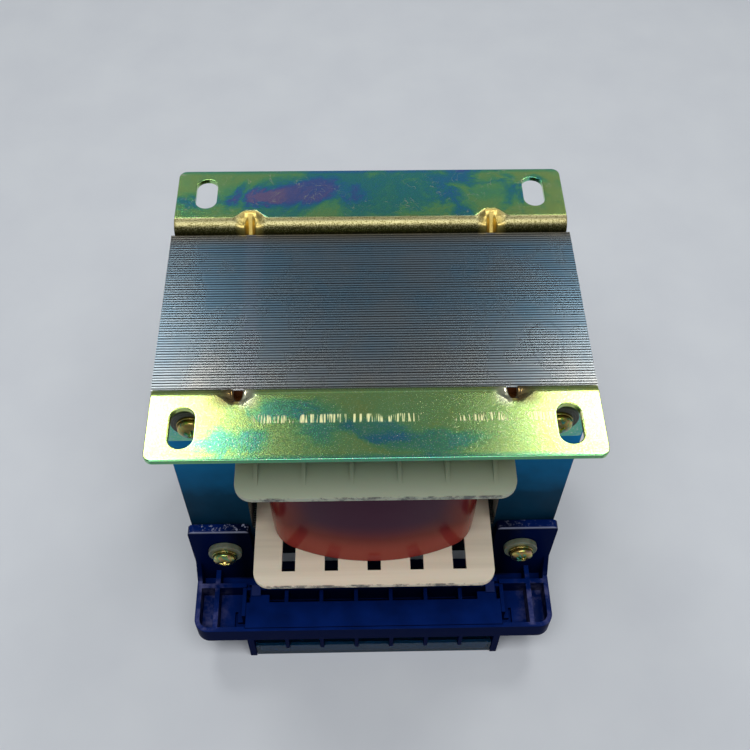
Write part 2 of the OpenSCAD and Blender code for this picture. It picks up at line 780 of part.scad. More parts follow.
module terminal_cover() {
    half = cell_half_w - fit_gap;
    y0 = block_y0 + divider_t + fit_gap;
    skirt_y = tray_y - skirt_inset;
    cheek_rim = 0.6;                     // how far the cheeks rise past the pips
    cheek_h = pip_z + pip_r + cheek_rim;
    color("lightsteelblue") difference() {
        union() {
            box([-half, y0, 0], [half, skirt_y, cover_wall]);
            box([-half, skirt_y - cover_wall, 0], [half, skirt_y, cover_h]);
            mirrored_x() {
                box([half - cover_wall, y0, 0], [half, skirt_y, cheek_h]);
                translate([half - cover_wall, pip_y, pip_z]) rotate([0, 90, 0])
                    cylinder(r = pip_r, h = cover_wall + fit_gap + pip_h);
            }
        }
        for (x = divider_xs)
            box([x - divider_t / 2 - fit_gap, skirt_y - cover_wall - past, divider_z0 - fit_gap],
                [x + divider_t / 2 + fit_gap, skirt_y + past, cover_h + past]);
    }
}

core_laminations();
bobbin_tube();
bobbin_flange_top();
bobbin_flange_bottom();
winding();
front() foot_bracket();  // foot_bracket_front
foot_bracket();  // foot_bracket_rear
bolt(-bolt_x, bolt_top_z, top_grip);  // bolt_top_left
bolt(bolt_x, bolt_top_z, top_grip);  // bolt_top_right
bolt(-bolt_x, bolt_bottom_z, bottom_grip);  // bolt_bottom_left
bolt(bolt_x, bolt_bottom_z, bottom_grip);  // bolt_bottom_right
nut(-bolt_x, bolt_top_z, top_grip);  // nut_top_left
nut(bolt_x, bolt_top_z, top_grip);  // nut_top_right
nut(-bolt_x, bolt_bottom_z, bottom_grip);  // nut_bottom_left
nut(bolt_x, bolt_bottom_z, bottom_grip);  // nut_bottom_right
front() plain_washers();  // plain_washers_front
plain_washers();  // plain_washers_rear
spring_washers();  // spring_washers_rear
front() insulating_washers();  // insulating_washers_front
insulating_washers();  // insulating_washers_rear
front() fibre_washers();  // fibre_washers_front
fibre_washers();  // fibre_washers_rear
front() terminal_carrier();  // terminal_carrier_front
terminal_carrier();  // terminal_carrier_rear
front() terminal_block();  // terminal_block_front
terminal_block();  // terminal_block_rear
front() terminal_bars();  // terminal_bars_front
terminal_bars();  // terminal_bars_rear
front() saddle_plates();  // saddle_plates_front
saddle_plates();  // saddle_plates_rear
front() terminal_screws();  // terminal_screws_front
terminal_screws();  // terminal_screws_rear
front() terminal_cover();  // terminal_cover_front
terminal_cover();  // terminal_cover_rear
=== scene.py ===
# %% [markdown]
# # An isolation transformer, dressed for its portrait
#
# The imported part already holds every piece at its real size: the EI core, the bobbin and coil, two
# foot brackets, the bolts, and a terminal carrier on each face. This script gives those pieces the
# look of the real ones. It loads them as a fixed frame, makes a finer piece wherever the plain solid
# is too crisp, and paints every surface with nodes. All lengths are in metres, so a size in
# millimetres is multiplied by `mm`.

# %% The frame, the units and the main sizes
import math

import bmesh
import bpy
import numpy as np
from mathutils import Matrix, Vector
from mathutils.geometry import delaunay_2d_cdt


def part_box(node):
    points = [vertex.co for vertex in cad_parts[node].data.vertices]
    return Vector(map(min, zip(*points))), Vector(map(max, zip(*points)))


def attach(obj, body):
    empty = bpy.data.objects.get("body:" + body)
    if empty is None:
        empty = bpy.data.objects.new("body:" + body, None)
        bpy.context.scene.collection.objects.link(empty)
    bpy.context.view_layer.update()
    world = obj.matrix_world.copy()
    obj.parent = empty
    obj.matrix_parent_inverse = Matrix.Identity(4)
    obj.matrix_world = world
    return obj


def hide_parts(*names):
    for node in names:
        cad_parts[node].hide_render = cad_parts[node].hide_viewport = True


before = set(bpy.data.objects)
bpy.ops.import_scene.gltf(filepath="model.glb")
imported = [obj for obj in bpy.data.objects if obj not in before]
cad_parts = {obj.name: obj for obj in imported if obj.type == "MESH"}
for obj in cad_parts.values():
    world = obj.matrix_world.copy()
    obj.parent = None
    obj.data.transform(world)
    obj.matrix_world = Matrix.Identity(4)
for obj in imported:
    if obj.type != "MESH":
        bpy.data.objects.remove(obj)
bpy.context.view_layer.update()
mm = 0.001

core_low, core_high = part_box("core_laminations")
foot_low, foot_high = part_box("foot_bracket_rear")

# %% [markdown]
# ## Camera
#
# The portrait is taken from above the front, steep enough to look down on the core and still see the
# coil under the front bracket. The camera's place and its three angles are written down as numbers,
# and the rotation is built from its own right, up and forward directions. That is easier to read
# than three Euler angles whose order matters.

# %% Camera
camera_place = Vector((-6.35, -224.94, 435.35)) * mm
camera_down = math.radians(54.47)
camera_aside = math.radians(1.87)
camera_roll = math.radians(0.83)
camera_lens = 47.7

forward = Vector((math.sin(camera_aside) * math.cos(camera_down),
                  math.cos(camera_aside) * math.cos(camera_down), -math.sin(camera_down)))
level_right = Vector((math.cos(camera_aside), -math.sin(camera_aside), 0))
level_up = level_right.cross(forward)
right = math.cos(camera_roll) * level_right + math.sin(camera_roll) * level_up
up = math.cos(camera_roll) * level_up - math.sin(camera_roll) * level_right
camera_turn = Matrix((right, up, -forward)).transposed().to_4x4()

camera = bpy.data.objects.new("camera", bpy.data.cameras.new("camera"))
bpy.context.scene.collection.objects.link(camera)
camera.data.sensor_width = 36
camera.data.lens = camera_lens
camera.data.clip_start = 10 * mm
camera.matrix_world = Matrix.Translation(camera_place) @ camera_turn
bpy.context.scene.camera = camera
print("camera distance to the core's top in mm:", round((camera_place - core_high).length / mm))

# %% [markdown]
# ## Colours and nodes
#
# Colours are picked as sRGB hex values, because that is what a colour picker shows. Cycles
# calculates in linear light, so one function turns each value. A second one adds any node with its
# settings and its links, which keeps the node trees below short enough to read. An input can be given
# as a value, as another node's socket, or as the node itself. Then its first output in use is taken.

# %% Helpers for materials
def linear(hex_colour):
    """An sRGB hex colour as the linear RGBA that the renderer works with."""
    channels = [int(hex_colour[i:i + 2], 16) / 255 for i in (1, 3, 5)]
    return tuple(c / 12.92 if c <= 0.04045 else ((c + 0.055) / 1.055) ** 2.4 for c in channels) + (1.0,)


def fill(tree, socket, value):
    """Gives a socket a plain value, or links it to a socket or to a node's first output in use."""
    if isinstance(value, bpy.types.Node):
        value = next(output for output in value.outputs if output.enabled)
    if isinstance(value, bpy.types.NodeSocket):
        tree.links.new(value, socket)
    else:
        socket.default_value = value


def add_node(tree, kind, inputs=None, **settings):
    """Adds a node, sets its properties, and fills the inputs that are named or numbered."""
    node = tree.nodes.new(kind)
    for name, value in settings.items():
        setattr(node, name, value)
    for name, value in (inputs or {}).items():
        fill(tree, node.inputs[name], value)
    return node


def set_stops(ramp, stops):
    """Gives a Color Ramp node its stops, a list of (place, hex colour)."""
    elements = ramp.color_ramp.elements
    while len(elements) < len(stops):
        elements.new(0.5)
    for element, (at, hex_colour) in zip(elements, stops):
        element.position = at
        element.color = linear(hex_colour)


def start_finish(name, **values):
    """A new material with its shader set up; returns it with its tree, its shader and object coordinates."""
    finish = bpy.data.materials.new(name)
    finish.use_nodes = True
    tree = finish.node_tree
    shader = tree.nodes["Principled BSDF"]
    for socket, value in values.items():
        shader.inputs[socket.replace("_", " ")].default_value = value
    place = add_node(tree, "ShaderNodeTexCoord").outputs["Object"]
    return finish, tree, shader, place

# %% [markdown]
# Two more patterns come back in many finishes. One is a map of how far a point lies to the side and
# in depth, for marks that are the same left and right, or front and rear. The other is a share that is
# high in patches, as dust, stains, scuffs and painted sheen all are. It's made from a noise whose scale is
# one over the patches' size, and only the part of the noise between two levels is stretched to the share.

# %% Helpers for marks
def measure(tree, place):
    """The point's X, Y and Z, and its distance from the middle aside and in depth."""
    parts = add_node(tree, "ShaderNodeSeparateXYZ", {"Vector": place}).outputs
    aside = add_node(tree, "ShaderNodeMath", {0: parts["X"]}, operation="ABSOLUTE")
    depth = add_node(tree, "ShaderNodeMath", {0: parts["Y"]}, operation="ABSOLUTE")
    return parts, aside, depth


def patches(tree, place, size, levels, most, **noise_inputs):
    """A share that rises from 0 to most where a noise of this size rises between the two levels."""
    inputs = {"Vector": place, "Scale": 1 / size, **noise_inputs}
    noise = add_node(tree, "ShaderNodeTexNoise", inputs)
    return add_node(tree, "ShaderNodeMapRange", {"Value": noise, "From Min": levels[0],
                    "From Max": levels[1], "To Max": most})


def mottled_finish(name, size, detail, stops, **values):
    """A finish whose colour drifts between the stops; returns it with its tree, shader and noise."""
    finish, tree, shader, place = start_finish(name, **values)
    noise = add_node(tree, "ShaderNodeTexNoise", {"Vector": place, "Scale": 1 / size, "Detail": detail})
    colour = add_node(tree, "ShaderNodeValToRGB", {"Fac": noise})
    set_stops(colour, stops)
    fill(tree, shader.inputs["Base Color"], colour)
    return finish, tree, shader, noise

# %% [markdown]
# ## Zinc plate with a yellow chromate film
#
# The brackets and bolts are steel, zinc plated and dipped in chromate. The film is about as thin as a
# wavelength of light, so it shimmers from yellow and green through teal and blue to purple as it gets
# thicker. A thin-film shader would give one hue all over a flat plate, but real plates are cloudy. So
# the film's thickness is a number that drifts with a slow noise and is raised in a few ragged patches,
# down the leg and at the foot's front edge, and a ramp turns it into a hue.

# %% How thick the film is on a bracket
cloud_size = 24 * mm
grain_size = 0.5 * mm         # the real grain is about 0.1 mm; it is drawn coarser so that it shows
leg_zone = (4 * mm, 9 * mm)         # below the foot's top, the film gets thicker over these depths
edge_zone = (2.2 * mm, 0.6 * mm)    # and over these distances from the foot's front edge


def film_patch(tree, place, warp, middle, radii, amount):
    """A value that rises to amount inside a ragged ellipse, whose middle and radii are in mm."""
    offset = add_node(tree, "ShaderNodeMapping", {"Vector": place,
                      "Location": (-middle[0] * mm, -middle[1] * mm, 0)})
    scaled = add_node(tree, "ShaderNodeMapping", {"Vector": offset,
                      "Scale": (1 / (radii[0] * mm), 1 / (radii[1] * mm), 0)})
    away = add_node(tree, "ShaderNodeVectorMath", {0: scaled}, operation="LENGTH")
    ragged = add_node(tree, "ShaderNodeMath", {0: away, 1: warp}, operation="ADD")
    return add_node(tree, "ShaderNodeMapRange", {"Value": ragged, "From Min": 1.4, "From Max": 0.4,
                    "To Max": amount}, interpolation_type="SMOOTHSTEP")


def film_thickness(tree, place, cloud, shift, film_patches):
    """The film's thickness, as a place on the ramp of hues. shift is that of the bare flat."""
    warp = add_node(tree, "ShaderNodeMapRange", {"Value": cloud, "From Min": 0.36, "From Max": 0.64,
                    "To Min": -0.7, "To Max": 0.7})
    thickness = add_node(tree, "ShaderNodeMapRange", {"Value": cloud, "From Min": 0.35,
                         "From Max": 0.65, "To Min": shift - 0.1, "To Max": shift + 0.1})
    parts, _, depth = measure(tree, place)
    on_leg = add_node(tree, "ShaderNodeMapRange", {"Value": parts["Z"],
                      "From Min": foot_high.z - leg_zone[0], "From Max": foot_high.z - leg_zone[1],
                      "To Max": 0.34})
    at_edge = add_node(tree, "ShaderNodeMapRange", {"Value": depth,
                       "From Min": foot_high.y - edge_zone[0], "From Max": foot_high.y - edge_zone[1],
                       "To Max": 0.2})
    thicker = [film_patch(tree, place, warp, *patch) for patch in film_patches]
    for share in thicker + [on_leg, at_edge]:
        thickness = add_node(tree, "ShaderNodeMath", {0: thickness, 1: share}, operation="ADD")
    return thickness

# %% [markdown]
# The rolled sheet is grainy, and the glints where single grains catch the light are painted highlights: pale
# specks in the colour. Handling leaves small curled scratches.
# A noise that bends back on itself has curled lines where it passes its middle value, so a thin slice
# there is drawn in the places where a second noise says that the sheet is worn.

# %% Curled scratches
curl_size = 9 * mm
worn_size = 7 * mm


def scratch_share(tree, place, seed, amount):
    """A share that is amount on thin curled lines, in worn places only."""
    bent = add_node(tree, "ShaderNodeTexNoise", {"Vector": place, "Scale": 1 / curl_size, "Detail": 2.0,
                    "Distortion": 2.5})
    off = add_node(tree, "ShaderNodeMath", {0: bent, 1: 0.5}, operation="SUBTRACT")
    off = add_node(tree, "ShaderNodeMath", {0: off}, operation="ABSOLUTE")
    thin = add_node(tree, "ShaderNodeMapRange", {"Value": off, "From Min": 0.011, "From Max": 0.002,
                    "To Max": amount})
    wear_and_shade = add_node(tree, "ShaderNodeTexNoise", {"Vector": place, "W": seed, "Scale": 1 / worn_size,
                    "Detail": 3.0}, noise_dimensions="4D")
    worn_here = add_node(tree, "ShaderNodeMapRange", {"Value": wear_and_shade, "From Min": 0.5, "From Max": 0.6})
    return add_node(tree, "ShaderNodeMath", {0: thin, 1: worn_here}, operation="MULTIPLY")

# %% [markdown]
# The press burnishes the bend. On the rear bracket it shows gold, and the gold spreads onto the foot
# round each dimple. The gold is darker low on the bend and pale near the foot's top, and that rise is
# a painted highlight along the bend. The front bracket's bend keeps its film, and only its dimples are
# gold. The sheared end of the foot is dark green on both.

# %% What the press leaves: gold on the bend and in the dimples, and a sheared end
dimple_x = 45.4 * mm                 # the two dimples that are struck across the bend stand this far out
dimple_zone = (5.5 * mm, 1.5 * mm)   # beside a dimple's middle, its own gold rises over these distances
gold_spread = 3.6 * mm               # how far the gold reaches onto the foot beside a dimple
spread_zone = (7 * mm, 1.5 * mm)     # and the distances from its middle over which it does
bend_zone = (5.2 * mm, 4.2 * mm)     # from the leg's face on the core, where the gold ends and is full
bend_highlight_zone = (3.6 * mm, 0.4 * mm)     # below the foot's top, where the gold goes from dark to pale
sheared_zone = (0.16 * mm, 0.06 * mm)    # from the foot's front edge


def press_marks(tree, place, grain, colour, gilt):
    """The colour with the marks of the press over it, and the share of gold on the bend."""
    parts, aside, depth = measure(tree, place)
    from_dimple = add_node(tree, "ShaderNodeMath", {0: aside, 1: dimple_x}, operation="SUBTRACT")
    from_dimple = add_node(tree, "ShaderNodeMath", {0: from_dimple}, operation="ABSOLUTE")
    spread = add_node(tree, "ShaderNodeMapRange", {"Value": from_dimple, "From Min": spread_zone[0],
                      "From Max": spread_zone[1], "To Max": gold_spread}, interpolation_type="SMOOTHSTEP")
    bend_at = add_node(tree, "ShaderNodeMath", {0: depth, 1: spread}, operation="SUBTRACT")
    bend_ends = {"Value": bend_at, "From Min": foot_low.y + bend_zone[0],
                 "From Max": foot_low.y + bend_zone[1]}
    bend = add_node(tree, "ShaderNodeMapRange", {**bend_ends, "To Max": gilt},
                    interpolation_type="SMOOTHSTEP")
    # painted highlight: the gold goes from dark to pale towards the foot's top
    painted_bend_highlight = add_node(tree, "ShaderNodeMapRange", {"Value": parts["Z"],
                      "From Min": foot_high.z - bend_highlight_zone[0], "From Max": foot_high.z - bend_highlight_zone[1]})
    coarse = add_node(tree, "ShaderNodeMapRange", {"Value": grain, "From Min": 0.38, "From Max": 0.62,
                      "To Min": -0.55, "To Max": 0.6})
    gold_and_highlight_at = add_node(tree, "ShaderNodeMath", {0: painted_bend_highlight, 1: coarse}, operation="ADD")
    gold = add_node(tree, "ShaderNodeValToRGB", {"Fac": gold_and_highlight_at})
    set_stops(gold, [(0.0, "#403D20"), (0.4, "#56502C"), (0.6, "#746C42"), (1.0, "#A29B70")])
    gilded = add_node(tree, "ShaderNodeMix", {0: bend, 6: colour, 7: gold}, data_type="RGBA")

    in_dimple = add_node(tree, "ShaderNodeMapRange", {"Value": from_dimple, "From Min": dimple_zone[0],
                         "From Max": dimple_zone[1], "To Max": 0.85})
    on_bend = add_node(tree, "ShaderNodeMapRange", bend_ends)
    worked = add_node(tree, "ShaderNodeMath", {0: in_dimple, 1: on_bend}, operation="MULTIPLY")
    dimpled = add_node(tree, "ShaderNodeMix", {0: worked, 6: gilded, 7: linear("#DCC06A")},
                       data_type="RGBA")
    sheared = add_node(tree, "ShaderNodeMapRange", {"Value": depth,
                       "From Min": foot_high.y - sheared_zone[0],
                       "From Max": foot_high.y - sheared_zone[1], "To Max": 0.55})
    marked = add_node(tree, "ShaderNodeMix", {0: sheared, 6: dimpled, 7: linear("#1E7048")},
                      data_type="RGBA")
    return marked, bend

# %% [markdown]
# Now the whole finish can be put together: film, painted glints of the grain, scratches, then the marks of
# the press. The flats shine and have a soft grain, and a gilded bend is duller and coarser.

# %% Chromated sheet
def chromate_sheet(name, seed, shift, film_patches, mottle, painted_glints, scratches, gilt):
    """Chromated sheet; returns the material, its tree, shader and object coordinates, and its colour."""
    finish, tree, shader, place = start_finish(name, Metallic=1.0)
    cloud = add_node(tree, "ShaderNodeTexNoise", {"Vector": place, "W": seed, "Scale": 1 / cloud_size,
                     "Detail": 8.0, "Roughness": 0.68, "Distortion": 0.8}, noise_dimensions="4D")
    grain = add_node(tree, "ShaderNodeTexNoise", {"Vector": place, "Scale": 1 / grain_size, "Detail": 3.0,
                     "Roughness": 0.8})
    thickness = film_thickness(tree, place, cloud, shift, film_patches)
    grain_shift = add_node(tree, "ShaderNodeMapRange", {"Value": grain, "From Min": 0.3,
                           "From Max": 0.7, "To Min": -mottle, "To Max": mottle})
    hue_at = add_node(tree, "ShaderNodeMath", {0: thickness, 1: grain_shift}, operation="ADD")
    hue = add_node(tree, "ShaderNodeValToRGB", {"Fac": hue_at})
    set_stops(hue, [(0.0, "#DCCB68"), (0.2, "#B4CD74"), (0.4, "#7CC888"), (0.56, "#54AEA4"),
                    (0.7, "#4C9CC4"), (0.84, "#6B82C6"), (1.0, "#A08CB8")])
    # painted highlights: grains that would catch the light are given a pale colour
    glint = add_node(tree, "ShaderNodeMapRange", {"Value": grain, "From Min": 0.57, "From Max": 0.66,
                     "To Max": painted_glints})
    with_painted_glints = add_node(tree, "ShaderNodeMix", {0: glint, 6: hue, 7: linear("#FFF8C4")}, data_type="RGBA")
    scratch = scratch_share(tree, place, seed, scratches)
    scratched = add_node(tree, "ShaderNodeMix", {0: scratch, 6: with_painted_glints, 7: linear("#E4E2C4")},
                         data_type="RGBA")
    colour, bend = press_marks(tree, place, grain, scratched, gilt)
    fill(tree, shader.inputs["Base Color"], colour)

    flat_gloss = add_node(tree, "ShaderNodeMapRange", {"Value": cloud, "From Min": 0.3, "From Max": 0.7,
                          "To Min": 0.15, "To Max": 0.2})
    gloss = add_node(tree, "ShaderNodeMix", {0: bend, 2: flat_gloss, 3: 0.34}, data_type="FLOAT")
    fill(tree, shader.inputs["Roughness"], gloss)
    grain_depth = add_node(tree, "ShaderNodeMix", {0: bend, 2: 0.25, 3: 1.0}, data_type="FLOAT")
    bump = add_node(tree, "ShaderNodeBump", {"Height": grain, "Strength": grain_depth,
                    "Distance": 0.07 * mm})
    fill(tree, shader.inputs["Normal"], bump)
    return finish, tree, shader, place, colour

# %% The two brackets' finishes
chromate_rear, *_ = chromate_sheet(
    "zinc_chromate_sheet_rear", seed=1.0, shift=0.21, mottle=0.06, painted_glints=0.12, scratches=0.8, gilt=1.0,
    film_patches=[((-9, 54), (66, 20), 0.36), ((-23, 53), (17, 7), 0.34), ((-46, 52), (9, 5), 0.36),
                  ((-52, 53), (15, 9), 0.2), ((44, 53), (20, 10), 0.18)])
chromate_front, tree, shader, place, colour = chromate_sheet(
    "zinc_chromate_sheet_front", seed=2.0, shift=0.18, mottle=0.14, painted_glints=0.8, scratches=0.08, gilt=0.0,
    film_patches=[((0, -54), (52, 26), 0.12), ((-46, -58), (10, 6), 0.26), ((-33, -47), (10, 4), 0.22),
                  ((-18, -53), (8, 8), 0.18), ((3, -54), (10, 4), 0.24), ((20, -59), (17, 4), 0.22)])
print("bracket finishes:", chromate_rear.name, chromate_front.name)

# %% [markdown]
# The front bracket has a line of short scuffs, where something has rubbed across it. They are pale,
# stand side by side like hatching, and follow the bracket's length. A narrow band in depth is
# multiplied by a noise that changes fast along the width and slowly across it, and by a slow noise
# that breaks the line into groups. The rubbing has taken off the shine as well as the film, so the
# scuffs are also less metallic.

# %% The row of scuffs on the front bracket
scuff_line = foot_low.y + 14.3 * mm
scuff_half = 1.9 * mm
scuff_pitch = 0.9 * mm
scuff_group = 9 * mm
scuff_run = 16.67 * mm                 # the noise changes this slowly across the bracket
scuff_lean = 0.12                      # radians
scuffs_begin = (-42 * mm, -36 * mm)

parts, aside, depth = measure(tree, place)
off_line = add_node(tree, "ShaderNodeMath", {0: parts["Y"], 1: scuff_line}, operation="ADD")
off_line = add_node(tree, "ShaderNodeMath", {0: off_line}, operation="ABSOLUTE")
scuffs = add_node(tree, "ShaderNodeMapRange", {"Value": off_line, "From Min": scuff_half,
                  "From Max": 0.7 * scuff_half})
stretched = add_node(tree, "ShaderNodeMapping", {"Vector": place, "Rotation": (0, 0, scuff_lean),
                     "Scale": (1 / scuff_pitch, 1 / scuff_run, 1)})
hatched = patches(tree, stretched, 1.0, (0.5, 0.56), 0.95, Detail=2.0, Roughness=0.7)
grouped = patches(tree, place, scuff_group, (0.44, 0.5), 1.0, Detail=1.0)
begun = add_node(tree, "ShaderNodeMapRange", {"Value": parts["X"], "From Min": scuffs_begin[0],
                 "From Max": scuffs_begin[1]})
for share in (hatched, grouped, begun):
    scuffs = add_node(tree, "ShaderNodeMath", {0: scuffs, 1: share}, operation="MULTIPLY")
colour = add_node(tree, "ShaderNodeMix", {0: scuffs, 6: colour, 7: linear("#FFFAB8")}, data_type="RGBA")
bare = add_node(tree, "ShaderNodeMapRange", {"Value": scuffs, "To Min": 1.0, "To Max": 0.15})
fill(tree, shader.inputs["Metallic"], bare)

# %% [markdown]
# The foot sinks in a shoulder on both sides of each dimple. On the front bracket the inner shoulder,
# towards the middle, gets a painted highlight in a pale colour, and the outer one gets painted shade in a
# brown.

# %% Painted highlight and shade on the shoulders of the front bracket's dimples
shoulder_zone = (11.5 * mm, 6.5 * mm)     # from the leg's face on the core, where they begin and are full
shoulder_start = (0.3 * mm, 1.2 * mm)     # from the dimple's middle
outer_shoulder_shade = (1, 3 * mm, 13 * mm, "#6E4C3E")        # side, full up to here, gone from here, tint
inner_shoulder_highlight = (-1, 3 * mm, 8 * mm, "#FFFAD8")

by_bend = add_node(tree, "ShaderNodeMapRange", {"Value": depth, "From Min": foot_low.y + shoulder_zone[0],
                   "From Max": foot_low.y + shoulder_zone[1]}, interpolation_type="SMOOTHSTEP")
past_dimple = add_node(tree, "ShaderNodeMath", {0: aside, 1: dimple_x}, operation="SUBTRACT")
for side, full_to, gone_from, tint in (outer_shoulder_shade, inner_shoulder_highlight):
    out = add_node(tree, "ShaderNodeMath", {0: past_dimple, 1: side}, operation="MULTIPLY")
    fades = add_node(tree, "ShaderNodeMapRange", {"Value": out, "From Min": gone_from,
                     "From Max": full_to, "To Max": 0.8}, interpolation_type="SMOOTHSTEP")
    begins = add_node(tree, "ShaderNodeMapRange", {"Value": out, "From Min": shoulder_start[0],
                      "From Max": shoulder_start[1]})
    share = add_node(tree, "ShaderNodeMath", {0: fades, 1: by_bend}, operation="MULTIPLY")
    share = add_node(tree, "ShaderNodeMath", {0: share, 1: begins}, operation="MULTIPLY")
    # painted light: brown shade on the outer shoulder, a pale highlight on the inner one
    colour = add_node(tree, "ShaderNodeMix", {0: share, 6: colour, 7: linear(tint)}, data_type="RGBA")
fill(tree, shader.inputs["Base Color"], colour)

# %% [markdown]
# The bolts, nuts and plain washers have the same film on turned and stamped parts. It is thinner
# there, so it stays gold, with small glints of cyan and pink. The crowns of the bolt heads, which
# face along Y, are painted darker, as a painted reflection of dark surroundings.

# %% Yellow chromate for bolts, nuts and washers
glint_size = 3 * mm

chromate_bolt, tree, shader, place = start_finish("zinc_chromate_turned", Metallic=1.0, Roughness=0.25)
glint = add_node(tree, "ShaderNodeTexNoise", {"Vector": place, "Scale": 1 / glint_size, "Detail": 2.0,
                 "Distortion": 1.5})
gold = add_node(tree, "ShaderNodeValToRGB", {"Fac": glint})
set_stops(gold, [(0.3, "#4FA9A0"), (0.42, "#9FB55E"), (0.5, "#D6C070"), (0.62, "#CFAF66"),
                 (0.72, "#C08FA0")])
# painted reflection: the darker colours for the crowns, which face along Y
wear_and_shade = add_node(tree, "ShaderNodeValToRGB", {"Fac": glint})
set_stops(wear_and_shade, [(0.35, "#2E7A78"), (0.45, "#33361F"), (0.6, "#4A4526"), (0.7, "#8A7A3C")])
normal = add_node(tree, "ShaderNodeNewGeometry").outputs["Normal"]
_, _, facing_y = measure(tree, normal)
painted_crown_shade = add_node(tree, "ShaderNodeMapRange", {"Value": facing_y, "From Min": 0.8, "From Max": 0.95,
                    "To Max": 0.85})
crowns_shaded = add_node(tree, "ShaderNodeMix", {0: painted_crown_shade, 6: gold, 7: wear_and_shade}, data_type="RGBA")
fill(tree, shader.inputs["Base Color"], crowns_shaded)

# %% [markdown]
# ## Electrical steel, cut and varnished
#
# The core's edges are the sheared edges of half-millimetre steel sheets. They are bluish grey and
# a little dull, because the finished core is dipped in thin varnish, and each sheet is a little lighter or
# darker than the next. Each pair of sheets carries a random number, `sheet_tone`, which the shader
# reads. The grooves between the pairs are too fine to shade themselves, so the shader darkens them.
# The pitch of the pairs gives each point's place in its pair. The varnish is thicker towards the rear,
# and handling has left specks, a dried strip and a dried drop.

# %% Where the grooves are
pair_count = 64
pair_pitch = (core_high.y - core_low.y) / pair_count

sheet_steel, tree, shader, place = start_finish("electrical_steel_edges", Metallic=0.85)
parts = add_node(tree, "ShaderNodeSeparateXYZ", {"Vector": place}).outputs
in_pair = add_node(tree, "ShaderNodeMath", {0: parts["Y"], 1: core_low.y}, operation="SUBTRACT")
in_pair = add_node(tree, "ShaderNodeMath", {0: in_pair, 1: 1 / pair_pitch}, operation="MULTIPLY")
in_pair = add_node(tree, "ShaderNodeMath", {0: in_pair}, operation="FRACT")
off_middle = add_node(tree, "ShaderNodeMath", {0: in_pair, 1: 0.5}, operation="SUBTRACT")
off_middle = add_node(tree, "ShaderNodeMath", {0: off_middle}, operation="ABSOLUTE")
groove = add_node(tree, "ShaderNodeMapRange", {"Value": off_middle, "From Min": 0.22, "From Max": 0.36,
                  "To Max": 0.9})

# %% The steel's colour, with its varnish and specks
stain_size = 25 * mm
speck_size = 1.0 * mm
varnish_zone = (-34 * mm, 2 * mm)      # along Y, from the front face to just past the middle
brown_zone = (29 * mm, 34 * mm)        # at the rear face the varnish has gone brown

tone = add_node(tree, "ShaderNodeAttribute", attribute_name="sheet_tone").outputs["Fac"]
steel = add_node(tree, "ShaderNodeValToRGB", {"Fac": tone})
set_stops(steel, [(0.0, "#8F8F8B"), (1.0, "#9C9B96")])
stain = add_node(tree, "ShaderNodeTexNoise", {"Vector": place, "Scale": 1 / stain_size, "Detail": 4.0,
                 "Roughness": 0.6})
stain_share = add_node(tree, "ShaderNodeMapRange", {"Value": stain, "From Min": 0.35, "From Max": 0.7,
                       "To Min": -0.2, "To Max": 0.35})
varnish = add_node(tree, "ShaderNodeMapRange", {"Value": parts["Y"], "From Min": varnish_zone[0],
                   "From Max": varnish_zone[1], "To Min": 0.15, "To Max": 0.8})
varnish = add_node(tree, "ShaderNodeMath", {0: varnish, 1: stain_share}, operation="ADD")
colour = add_node(tree, "ShaderNodeMix", {0: varnish, 6: steel, 7: linear("#627F90")}, data_type="RGBA")
brown = add_node(tree, "ShaderNodeMapRange", {"Value": parts["Y"], "From Min": brown_zone[0],
                 "From Max": brown_zone[1], "To Max": 0.6})
colour = add_node(tree, "ShaderNodeMix", {0: brown, 6: colour, 7: linear("#7D6A4A")}, data_type="RGBA")
speck = patches(tree, place, speck_size, (0.74, 0.79), 0.5, Detail=1.0)
colour = add_node(tree, "ShaderNodeMix", {0: speck, 6: colour, 7: linear("#C4C8CC")}, data_type="RGBA")

# %% A dried strip and a dried drop, then the grooves over them
strip_x = -43.5 * mm
strip_zone = (4.2 * mm, 2.0 * mm)      # from the strip's middle line, where it ends and is full
drop_middle = (60 * mm, -18 * mm)
drop_radii = (5.5 * mm, 11 * mm)
drop_wobble = 9 * mm

off_strip = add_node(tree, "ShaderNodeMath", {0: parts["X"], 1: -strip_x}, operation="ADD")
off_strip = add_node(tree, "ShaderNodeMath", {0: off_strip}, operation="ABSOLUTE")
strip = add_node(tree, "ShaderNodeMapRange", {"Value": off_strip, "From Min": strip_zone[0],
                 "From Max": strip_zone[1], "To Max": 0.16})
colour = add_node(tree, "ShaderNodeMix", {0: strip, 6: colour, 7: linear("#9A96A0")}, data_type="RGBA")

# only the outline of the drop is dark, where its ragged radius is near one
drop_place = add_node(tree, "ShaderNodeMapping", {"Vector": place,
                      "Location": (-drop_middle[0], -drop_middle[1], 0)})
drop_place = add_node(tree, "ShaderNodeMapping", {"Vector": drop_place,
                      "Scale": (1 / drop_radii[0], 1 / drop_radii[1], 0)})
radius = add_node(tree, "ShaderNodeVectorMath", {0: drop_place}, operation="LENGTH")
wobble = add_node(tree, "ShaderNodeTexNoise", {"Vector": place, "Scale": 1 / drop_wobble})
off_rim = add_node(tree, "ShaderNodeMath", {0: radius, 1: wobble}, operation="ADD")
off_rim = add_node(tree, "ShaderNodeMath", {0: off_rim, 1: 1.5}, operation="SUBTRACT")
off_rim = add_node(tree, "ShaderNodeMath", {0: off_rim}, operation="ABSOLUTE")
rim = add_node(tree, "ShaderNodeMapRange", {"Value": off_rim, "From Min": 0.07, "From Max": 0.02,
               "To Max": 0.25})
colour = add_node(tree, "ShaderNodeMix", {0: rim, 6: colour, 7: linear("#2A3038")}, data_type="RGBA")
colour = add_node(tree, "ShaderNodeMix", {0: groove, 6: colour, 7: linear("#161C22")}, data_type="RGBA")
